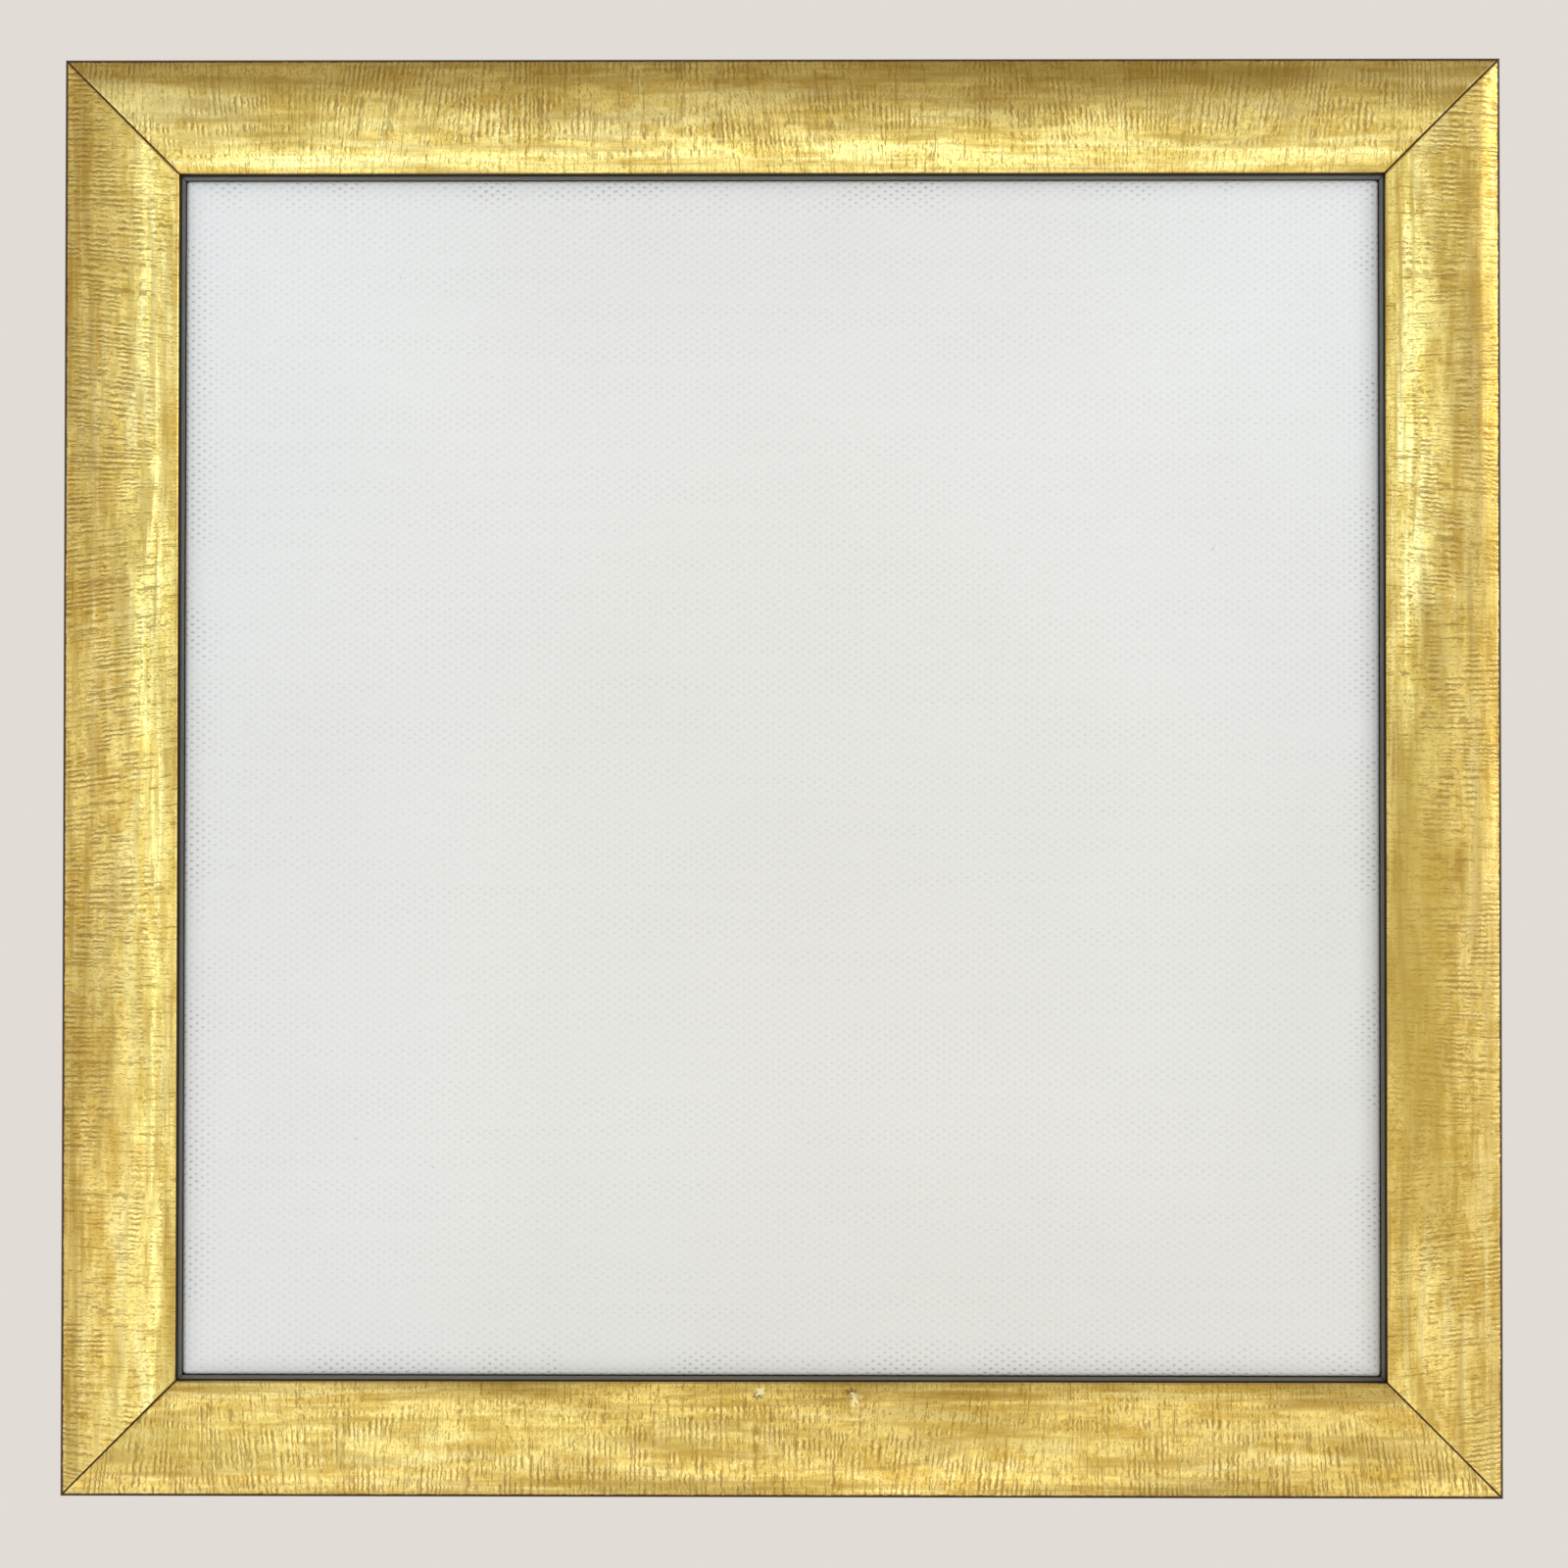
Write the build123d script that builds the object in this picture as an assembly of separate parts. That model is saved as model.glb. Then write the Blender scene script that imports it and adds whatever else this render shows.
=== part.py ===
from build123d import *
import os

# Floating frame with a stretched canvas. Millimetres.
# Every piece is modelled lying face up on a bench: X across, Y up the picture, Z out of the face, with the
# wall plane at Z = 0. hang() then stands it on the wall: the face looks along -Y and +Z is up.

# ---- driving dimensions ---------------------------------------------------------------------------------
# canvas
canvas_width = 254.0        # over the cloth
canvas_height = 254.0
cloth_thick = 0.6           # cotton with its priming
cloth_flap = 26.0           # cloth turned over onto the back of the bars
cloth_edge_radius = 1.2     # outside radius where the cloth turns down the sides

# stretcher bars
bar_width = 38.0
bar_depth = 18.0
bar_bead = 7.0              # flat outer bead that the cloth bears on
bar_relief = 2.4            # how far the front falls away from the cloth at the inner edge
bar_back_round = 1.0
tongue_thick = 4.4          # each of the two tongue layers in the bar's depth
joint_clearance = 0.15

# keys
key_length = 30.0
key_tip_width = 8.0
key_head_width = 14.0
key_thick = 3.8
key_insertion = 15.0
key_clearance = 0.15
key_corner = 1.5

# frame rails
face_width = 24.0           # gilded face, from the outer edge to the inner wall
crown_rise = 1.4            # how far the cushion of the face rises above its two edges
face_round = 0.5            # small round-over at both edges of the face
float_gap = 1.5             # between the inner wall and the canvas
shoulder_drop = 4.5         # inner edge of the gilded face down to the shoulder that centres the canvas
shoulder_clearance = 0.4    # between the shoulder and the canvas
canvas_recess = 2.5         # canvas face below the inner edge of the gilded face
ledge_width = 16.0          # inner wall to the ledge's free edge
ledge_thick = 8.0
ledge_round = 1.0
back_chamfer = 0.8

# fasteners
vnail_leg = 5.0
vnail_lip = 1.2
vnail_thick = 0.6
vnail_height = 10.0
vnail_insets = (7.0, 15.0)  # apex distances from both outer edges
screw_shank_radius = 1.6
screw_hole_radius = 1.8     # clearance hole through the ledge
screw_head_radius = 3.4
screw_head_height = 2.2
screw_bite = 11.0           # length in the stretcher bar
screw_point = 2.5
recess_width = 0.9
recess_span = 3.8
recess_depth = 1.3
head_round_share = 0.45     # of the head's height
screw_tip_radius = 0.3
screws_per_side = 2
staples_per_side = 4
staple_crown = 11.0
staple_wire = 0.6
staple_width = 1.2
staple_leg = 7.0
staple_from_edge = 19.5     # from the canvas edge to the row of staples
staple_slant = 12.0         # degrees off the bar's length

# hangers
hanger_inset = 13.0         # strap's centre line from the outer edge of the rail
hanger_drop = 78.0          # loop's axis below the top edge of the frame
strap_width = 10.0
strap_length = 30.0         # loop's axis to the far end of the plate
strap_thick = 1.2
strap_screw_at = 21.0       # loop's axis to the screw
strap_corner = 3.5          # rounding of the plate's far corners
ring_wire_radius = 1.25
ring_width = 17.0           # between the centre lines of the ring's two sides
ring_reach = 15.0           # pivot to the centre line of the ring's far end
ring_corner = 3.0
ring_clearance = 0.25
hanger_screw_bite = 12.0

# wall bumpers
bumper_radius = 6.0
bumper_height = 6.2
bumper_dome = 1.6
bumper_inset = 13.0         # centre from both outer edges of the frame

overcut = 1.0               # how far a cutting solid runs past the faces it opens

# ---- sizes that follow ----------------------------------------------------------------------------------
opening_width = canvas_width + 2 * float_gap
opening_height = canvas_height + 2 * float_gap
frame_width = opening_width + 2 * face_width
frame_height = opening_height + 2 * face_width
rail_width = face_width + ledge_width

back_z = bumper_height                              # back face of the rails, off the wall
ledge_z = back_z + ledge_thick                      # the canvas rests here
bar_z = ledge_z + cloth_thick                       # back face of the bars
bar_front_z = bar_z + bar_depth
canvas_face_z = bar_front_z + cloth_thick
edge_z = canvas_face_z + canvas_recess              # both edges of the gilded face
crown_z = edge_z + crown_rise
shoulder_z = edge_z - shoulder_drop
shoulder_width = float_gap - shoulder_clearance

stretcher_width = canvas_width - 2 * cloth_thick
stretcher_height = canvas_height - 2 * cloth_thick
shoulder_thick = (bar_depth - 2 * tongue_thick) / 2
tongue_a_z = bar_z + shoulder_thick                 # layer with the tongues of the top and bottom bars
tongue_b_z = tongue_a_z + tongue_thick              # layer with the tongues of the left and right bars
key_mouth_width = key_tip_width + (key_head_width - key_tip_width) * key_insertion / key_length

loop_inner_radius = ring_wire_radius + ring_clearance
loop_outer_radius = loop_inner_radius + strap_thick
loop_axis_z = back_z - loop_outer_radius            # the loop's outside touches the rail's back
hanger_x = frame_width / 2 - hanger_inset
hanger_y = frame_height / 2 - hanger_drop

HANG = Rot(90, 0, 0)

# the four sides, each turned from the bottom one: name, degrees, distance from the centre, length
FRAME_SIDES = (
    ("bottom", 0, frame_height / 2, frame_width),
    ("right", 90, frame_width / 2, frame_height),
    ("top", 180, frame_height / 2, frame_width),
    ("left", 270, frame_width / 2, frame_height),
)
STRETCHER_SIDES = (
    ("bottom", 0, stretcher_height / 2, stretcher_width),
    ("right", 90, stretcher_width / 2, stretcher_height),
    ("top", 180, stretcher_height / 2, stretcher_width),
    ("left", 270, stretcher_width / 2, stretcher_height),
)
# what lies at the +X and -X end of each side while it is still drawn as the bottom one
END_NAMES = {
    "bottom": ("right", "left"),
    "right": ("top", "bottom"),
    "top": ("left", "right"),
    "left": ("bottom", "top"),
}


def block(x0, x1, y0, y1, z0, z1):
    """A box between two corners."""
    return Pos(x0, y0, z0) * Box(x1 - x0, y1 - y0, z1 - z0, align=(Align.MIN, Align.MIN, Align.MIN))


def prism(points, z0, z1):
    """A polygon drawn in the XY plane, between two heights."""
    face = make_face(Polyline(*points, close=True))
    return Pos(0, 0, z0) * extrude(face, z1 - z0)


def place(piece, turn, distance):
    """Move a piece drawn as the bottom side, outer edge on Y = 0, to one of the four sides."""
    return Rot(0, 0, turn) * Pos(0, -distance, 0) * piece


def spaced(count, length):
    """Evenly spread places along a side, half a step in from each end."""
    step = length / count
    return [step * (i + 0.5) - length / 2 for i in range(count)]


def along_side(profile, length):
    """A profile in the YZ plane, drawn out along X."""
    return extrude(profile, length / 2, both=True)


def mitre_wedge(length, width, z0, z1):
    """What a 45 degree cut at both ends leaves of a side."""
    half = length / 2
    corners = [(-half, 0), (half, 0), (half - width, width), (-half + width, width)]
    return prism(corners, z0, z1)


# ---- rails ----------------------------------------------------------------------------------------------
def rail_profile():
    """L section: a wall under the cushioned face, stepped at the shoulder, and a ledge behind the canvas."""
    foot = face_width + shoulder_width
    outline = [
        Line((0, back_z + back_chamfer), (0, edge_z)),
        ThreePointArc((0, edge_z), (face_width / 2, crown_z), (face_width, edge_z)),
        Line((face_width, edge_z), (face_width, shoulder_z)),
        Line((face_width, shoulder_z), (foot, shoulder_z)),
        Line((foot, shoulder_z), (foot, ledge_z)),
        Line((foot, ledge_z), (rail_width, ledge_z)),
        Line((rail_width, ledge_z), (rail_width, back_z)),
        Line((rail_width, back_z), (back_chamfer, back_z)),
        Line((back_chamfer, back_z), (0, back_z + back_chamfer)),
    ]
    face = make_face(outline)
    face_edges = [v for v in face.vertices() if abs(v.Y - edge_z) < 1e-6]
    face = fillet(face_edges, face_round)
    ledge_edges = [v for v in face.vertices() if abs(v.X - rail_width) < 1e-6]
    face = fillet(ledge_edges, ledge_round)
    return Plane.YZ * face


def rail(length):
    """One rail, drawn as the bottom one, mitred at both ends."""
    bar = along_side(rail_profile(), length)
    return bar & mitre_wedge(length, rail_width + overcut, back_z - overcut, crown_z + overcut)


def v_nail():
    """A V of steel strip with turned-out lips, its apex at the origin."""
    t = vnail_thick
    leg = block(0, vnail_leg, 0, t, 0, vnail_height) + block(0, t, 0, vnail_leg, 0, vnail_height)
    lip_x = block(vnail_leg - t, vnail_leg, -vnail_lip, t, 0, vnail_height)
    lip_y = block(-vnail_lip, t, vnail_leg - t, vnail_leg, 0, vnail_height)
    return leg + lip_x + lip_y


def v_nails():
    """Two V-nails across each mitre, flush with the back of the rails."""
    nails = []
    for turn, sx, sy in ((0, -1, -1), (90, 1, -1), (180, 1, 1), (270, -1, 1)):
        corner = Pos(sx * frame_width / 2, sy * frame_height / 2, back_z) * Rot(0, 0, turn)
        nails += [corner * Pos(inset, inset, 0) * v_nail() for inset in vnail_insets]
    return nails


# ---- stretcher ------------------------------------------------------------------------------------------
def bar_profile():
    """A bar's section: a rounded outer bead, and a front that slopes away from the cloth."""
    radius = cloth_edge_radius - cloth_thick
    face = make_face(Polyline(
        (0, bar_z), (bar_width, bar_z), (bar_width, bar_front_z - bar_relief),
        (bar_bead, bar_front_z), (0, bar_front_z), close=True))
    outer_front = [v for v in face.vertices() if v.X < 1e-6 and v.Y > bar_front_z - 1e-6]
    face = fillet(outer_front, radius)
    inner = [v for v in face.vertices() if v.X > bar_width - 1e-6]
    face = fillet(inner, bar_back_round)
    return Plane.YZ * face


def key_pocket(length, z0):
    """Slot for a key beside the corner square at the +X end, open at the bar's inner edge."""
    corner = length / 2 - bar_width
    width = key_mouth_width + 2 * key_clearance
    depth = key_insertion + 2 * key_clearance
    return block(corner - width, corner, bar_width - depth, bar_width + overcut, z0, z0 + tongue_thick)


def stretcher_bar(length, tongue_z, slot_z):
    """One bar, drawn as the bottom one: tongues in one layer, slots for the next bars' tongues in the other."""
    bar = along_side(bar_profile(), length)
    half = length / 2
    corner = half - bar_width
    past_end, past_side = half + overcut, bar_width + overcut
    tongue_top = tongue_z + tongue_thick
    for low, high in ((bar_z - overcut, tongue_a_z), (tongue_b_z + tongue_thick, bar_front_z + overcut)):
        for end in (1, -1):
            outside = [(end * half, 0), (end * past_end, 0),
                       (end * past_end, past_side), (end * (corner - overcut), past_side)]
            bar -= prism(outside, low, high)
    slot = block(corner, past_end, -overcut, past_side, slot_z, slot_z + tongue_thick)
    slot += key_pocket(length, slot_z)
    root = corner + joint_clearance
    skim = block(root, past_end, -overcut, past_side, tongue_z, tongue_z + joint_clearance)
    skim += block(root, past_end, -overcut, past_side, tongue_top - joint_clearance, tongue_top)
    cut = slot + skim
    return bar - cut - mirror(cut, Plane.YZ)


def key(length, slot_z):
    """A wedge in the pocket at the +X end, its straight side against the next bar."""
    straight = length / 2 - bar_width - key_clearance
    tip = bar_width - key_insertion
    head = tip + key_length
    outline = [
        (straight, tip), (straight, head), (straight - key_head_width + key_corner, head),
        (straight - key_head_width, head - key_corner),
        (straight - key_tip_width, tip + key_corner), (straight - key_tip_width + key_corner, tip),
    ]
    low = slot_z + (tongue_thick - key_thick) / 2
    return prism(outline, low, low + key_thick)


# ---- canvas ---------------------------------------------------------------------------------------------
def cloth():
    """Cloth as a shallow pan over the bars, with a flap turned over their back all round."""
    inner = cloth_edge_radius - cloth_thick
    outside = block(-canvas_width / 2, canvas_width / 2, -canvas_height / 2, canvas_height / 2,
                    ledge_z, canvas_face_z)
    outside = fillet(outside.faces().sort_by(Axis.Z)[-1].edges(), cloth_edge_radius)
    inside = block(-stretcher_width / 2, stretcher_width / 2, -stretcher_height / 2, stretcher_height / 2,
                   bar_z, bar_front_z)
    inside = fillet(inside.faces().sort_by(Axis.Z)[-1].edges(), inner)
    half_x, half_y = canvas_width / 2 - cloth_flap, canvas_height / 2 - cloth_flap
    window = block(-half_x, half_x, -half_y, half_y, ledge_z - overcut, bar_z + overcut)
    return outside - inside - window


def staple():
    """A wire staple, crown on the cloth at Z = 0 and legs up into the wood."""
    half = staple_crown / 2
    crown = block(-half, half, -staple_width / 2, staple_width / 2, -staple_wire, 0)
    legs = [block(x, x + staple_wire, -staple_width / 2, staple_width / 2, -staple_wire, staple_leg)
            for x in (-half, half - staple_wire)]
    return crown + legs[0] + legs[1]


def staples():
    """Staples along the flap on each side, all slanted the same way."""
    out = []
    for _, turn, distance, length in STRETCHER_SIDES:
        for x in spaced(staples_per_side, length - 2 * bar_width):
            seat = Pos(x, staple_from_edge - cloth_thick, ledge_z) * Rot(0, 0, staple_slant)
            out.append(place(seat * staple(), turn, distance))
    return out


def wood_screw(length):
    """A pan-head screw with a cross recess, head underside at Z = 0 and point up."""
    head = Pos(0, 0, -screw_head_height) * Cylinder(
        screw_head_radius, screw_head_height, align=(Align.CENTER, Align.CENTER, Align.MIN))
    head = fillet(head.edges().sort_by(Axis.Z)[0], screw_head_height * head_round_share)
    shank = Cylinder(screw_shank_radius, length - screw_point, align=(Align.CENTER, Align.CENTER, Align.MIN))
    point = Pos(0, 0, length - screw_point) * Cone(
        screw_shank_radius, screw_tip_radius, screw_point, align=(Align.CENTER, Align.CENTER, Align.MIN))
    recess = Pos(0, 0, -screw_head_height) * (
        Box(recess_span, recess_width, 2 * recess_depth) + Box(recess_width, recess_span, 2 * recess_depth))
    return head + shank + point - recess


def canvas_screws():
    """Screws from the back through the ledge into the bars."""
    out = []
    for _, turn, distance, length in FRAME_SIDES:
        for x in spaced(screws_per_side, length - 2 * rail_width):
            seat = Pos(x, face_width + ledge_width / 2, back_z)
            out.append(place(seat * wood_screw(ledge_thick + screw_bite), turn, distance))
    return out


def ledge_holes(length):
    """Clearance holes through the ledge of one rail."""
    hole = Cylinder(screw_hole_radius, 2 * (ledge_thick + overcut))
    return [Pos(x, face_width + ledge_width / 2, back_z) * hole
            for x in spaced(screws_per_side, length - 2 * rail_width)]


# ---- hangers, drawn at their own origin: pivot axis along X, plate towards -Y, rail's back above ----------
def hanger_strap():
    """A steel strip with one end curled round the ring's bar."""
    top = loop_outer_radius
    plate = block(-strap_width / 2, strap_width / 2, -strap_length, 0, top - strap_thick, top)
    far_edges = plate.edges().filter_by(Axis.Z).sort_by(Axis.Y)[:2]
    plate = fillet(far_edges, strap_corner)
    curl = Rot(0, 90, 0) * (Cylinder(loop_outer_radius, strap_width) - Cylinder(loop_inner_radius, strap_width))
    hole = Pos(0, -strap_screw_at, top) * Cylinder(screw_hole_radius, 2 * (strap_thick + overcut))
    bore = Rot(0, 90, 0) * Cylinder(loop_inner_radius, strap_width)
    return plate + curl - hole - bore


def hanger_ring():
    """A closed D of round wire, hanging from its straight bar."""
    half = ring_width / 2
    far = -ring_reach
    bend = -(ring_reach - half)
    path = [
        Line((-half + ring_corner, 0), (half - ring_corner, 0)),
        RadiusArc((half - ring_corner, 0), (half, -ring_corner), ring_corner),
        Line((half, -ring_corner), (half, bend)),
        ThreePointArc((half, bend), (0, far), (-half, bend)),
        Line((-half, bend), (-half, -ring_corner)),
        RadiusArc((-half, -ring_corner), (-half + ring_corner, 0), ring_corner),
    ]
    wire = Wire(path)
    section = Plane(origin=(0, 0, 0), z_dir=(1, 0, 0)) * Circle(ring_wire_radius)
    return sweep(section, path=wire)


def hanger_seat(side):
    """Where a hanger's pivot sits on the left (-1) or right (1) rail."""
    return Pos(side * hanger_x, hanger_y, loop_axis_z)


def hanger_screw():
    """The screw that holds a strap, in the strap's own frame."""
    seat = Pos(0, -strap_screw_at, loop_outer_radius - strap_thick)
    return seat * wood_screw(strap_thick + hanger_screw_bite)


def bumper(side):
    """A soft domed foot on a lower back corner, its flat tip on the wall."""
    foot = Cylinder(bumper_radius, bumper_height, align=(Align.CENTER, Align.CENTER, Align.MIN))
    foot = fillet(foot.edges().sort_by(Axis.Z)[0], bumper_dome)
    return Pos(side * (frame_width / 2 - bumper_inset), -frame_height / 2 + bumper_inset, 0) * foot


# ---- put together ---------------------------------------------------------------------------------------
def cut_by(piece, tools):
    """A piece with the seats of its fasteners taken out of it."""
    for tool in tools:
        piece = piece - tool
    return piece


def near(tools, piece):
    """The tools whose boxes meet a piece's box."""
    box = piece.bounding_box()
    met = []
    for tool in tools:
        other = tool.bounding_box()
        apart = (other.min.X > box.max.X or other.max.X < box.min.X
                 or other.min.Y > box.max.Y or other.max.Y < box.min.Y)
        if not apart:
            met.append(tool)
    return met


def build():
    """All pieces by name, still on the bench."""
    pieces = {}
    nails = v_nails()
    fixing_screws = canvas_screws()
    wires = staples()
    seats = [hanger_seat(side) for side in (-1, 1)]
    strap_screws = [seat * hanger_screw() for seat in seats]

    for name, turn, distance, length in FRAME_SIDES:
        blank = cut_by(rail(length), ledge_holes(length))
        blank = place(blank, turn, distance)
        pieces[f"rail_{name}"] = cut_by(blank, near(nails + strap_screws, blank))
    pieces["corner_v_nails"] = Compound(nails)

    for name, turn, distance, length in STRETCHER_SIDES:
        lying = name in ("bottom", "top")
        tongue_z = tongue_a_z if lying else tongue_b_z
        slot_z = tongue_b_z if lying else tongue_a_z
        bar = place(stretcher_bar(length, tongue_z, slot_z), turn, distance)
        pieces[f"stretcher_{name}"] = cut_by(bar, near(fixing_screws + wires, bar))
        wedge = key(length, slot_z)
        for end, drawn in zip(END_NAMES[name], (wedge, mirror(wedge, Plane.YZ))):
            pieces[f"key_{name}_{end}"] = place(drawn, turn, distance)

    pieces["canvas_cloth"] = cut_by(cloth(), fixing_screws + wires)
    pieces["canvas_staples"] = Compound(wires)
    pieces["canvas_screws"] = Compound(fixing_screws)

    for side, seat in zip(("left", "right"), seats):
        pieces[f"hanger_strap_{side}"] = seat * hanger_strap()
        pieces[f"hanger_ring_{side}"] = seat * hanger_ring()
    pieces["hanger_screws"] = Compound(strap_screws)
    pieces["wall_bumper_left"] = bumper(-1)
    pieces["wall_bumper_right"] = bumper(1)
    return pieces


os.makedirs("parts", exist_ok=True)
for node, piece in build().items():
    solids = [HANG * solid for solid in piece.solids()]
    hung = solids[0] if len(solids) == 1 else Compound(solids)
    hung.label = node
    export_step(hung, f"parts/{node}.step")
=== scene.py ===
import math

import bpy
import numpy as np
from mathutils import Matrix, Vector


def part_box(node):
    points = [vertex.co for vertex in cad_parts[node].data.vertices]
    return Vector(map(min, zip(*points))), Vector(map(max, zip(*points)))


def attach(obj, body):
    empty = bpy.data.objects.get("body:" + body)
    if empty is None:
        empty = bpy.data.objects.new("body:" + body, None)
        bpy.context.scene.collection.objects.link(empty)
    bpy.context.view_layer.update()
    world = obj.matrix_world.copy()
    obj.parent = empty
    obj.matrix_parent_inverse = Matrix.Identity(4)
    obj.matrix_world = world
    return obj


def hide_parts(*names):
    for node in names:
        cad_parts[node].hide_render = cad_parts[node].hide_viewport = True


bl_info = {
    "name": "Floating frame",
    "version": (1, 0, 0),
    "blender": (4, 5, 0),
    "location": "3D View > Sidebar > Floating frame",
    "description": "Gilds a floating frame, stretches its canvas and finishes its woodwork and fittings",
    "category": "Object",
}

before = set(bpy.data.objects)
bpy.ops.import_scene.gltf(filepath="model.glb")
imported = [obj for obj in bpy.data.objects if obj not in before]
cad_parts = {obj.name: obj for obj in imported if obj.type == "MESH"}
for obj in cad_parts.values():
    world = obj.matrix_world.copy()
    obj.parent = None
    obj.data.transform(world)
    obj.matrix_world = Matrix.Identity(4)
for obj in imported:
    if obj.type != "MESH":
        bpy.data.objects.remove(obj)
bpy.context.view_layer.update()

MM = 0.001
SIDES = ("top", "bottom", "left", "right")
OUTWARD = {"top": (0, 1), "bottom": (0, -1), "left": (-1, 0), "right": (1, 0)}   # in X and Z

# the rail's section, as it is milled
FACE_WIDTH = 24.0 * MM
CROWN_RISE = 1.4 * MM
EDGE_ROUND = 0.5 * MM
INNER_EDGE_ROUND = 0.25 * MM   # of the gilding, which fills out the milled edge
WRAP = 0.3 * MM                # of the gilding over the inner edge
SHOULDER_DROP = 4.5 * MM

FRAME_HALF_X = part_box("rail_right")[1].x
FRAME_HALF_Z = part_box("rail_top")[1].z
CROWN_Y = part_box("rail_top")[0].y
EDGE_Y = CROWN_Y + CROWN_RISE
RAIL_BACK_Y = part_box("rail_top")[1].y

CLOTH_LOW, CLOTH_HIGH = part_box("canvas_cloth")
CORNER_RADIUS = 1.5 * MM       # of the cloth's upright corners
FOLD_RADIUS = 0.7 * MM         # where the cloth turns onto the backs of the bars
FOLD_STARTS = 0.93             # share of a side past which the flap lies on the flap beside it
FOLD_THICKNESS = 0.45 * MM
THREAD_RADIUS = 0.11 * MM      # of a loose thread

# depths of the fine grain of each surface
STAINED_GRAIN = 0.08 * MM
PLANED_GRAIN = 0.1 * MM
SCRATCHES = 0.02 * MM
MOULDED_GRAIN = 0.04 * MM

EACH_MM = (1000.0, 1000.0, 1000.0)      # metres into millimetres
FLAP_HELD = 20.0 * MM          # how much of the flap the staples hold flat

# added along each side, in mm, so that no two sides have the same grain
UPRIGHT_SHIFT = 937.0
POSITIVE_SHIFT = 411.0

# tones and marks, listed one by one: place along and in from the outer edge, then reach along and across, in
# mm
CALM_LEFT = ((UPRIGHT_SHIFT + 10.0, 6.0), (75.0, 13.0))
# painted shade: on the left rail near its top, and low on the inner side of the right rail
SHADE_UPPER_LEFT = ((UPRIGHT_SHIFT + 130.0, 4.0), (55.0, 14.0))
SHADE_LOWER_RIGHT = ((UPRIGHT_SHIFT + POSITIVE_SHIFT - 40.0, 18.0), (75.0, 10.0))
# painted shadows beside the two pale chips
CHIP_SHADOWS = (((-4.6, 21.6), (1.6, 0.9)), ((15.2, 22.2), (1.5, 1.2)))
PALE_CHIPS = (((-4.0, 22.3), (1.3, 1.1)), ((15.7, 21.0), (1.1, 1.9)))
PALE_CHIP_COLOUR = (1.0, 0.9, 0.5, 1)

# the panel lights: name, place, aim, size, share of the panel power, colour and spread in degrees
COOL, WHITE = (0.42, 0.64, 1.0), (1.0, 1.0, 1.0)
PANELS = (
    ("panel_top", (0.0, -0.60, -0.005), (0.0, 0.0, 0.17), (0.5, 0.075), 1.0, COOL, 34.0),
    ("panel_bottom", (0.0, -0.60, 0.03), (0.0, 0.0, -0.17), (0.5, 0.10), 0.42, WHITE, 34.0),
    ("panel_left", (-0.035, -0.60, 0.0), (-0.20, 0.0, 0.0), (0.125, 0.5), 2.1, COOL, 34.0),
    ("panel_right", (0.03, -0.60, 0.15), (0.17, 0.0, 0.085), (0.09, 0.2), 0.5, COOL, 30.0),
)
LOW_LIGHT_POWER = 1.0


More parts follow.
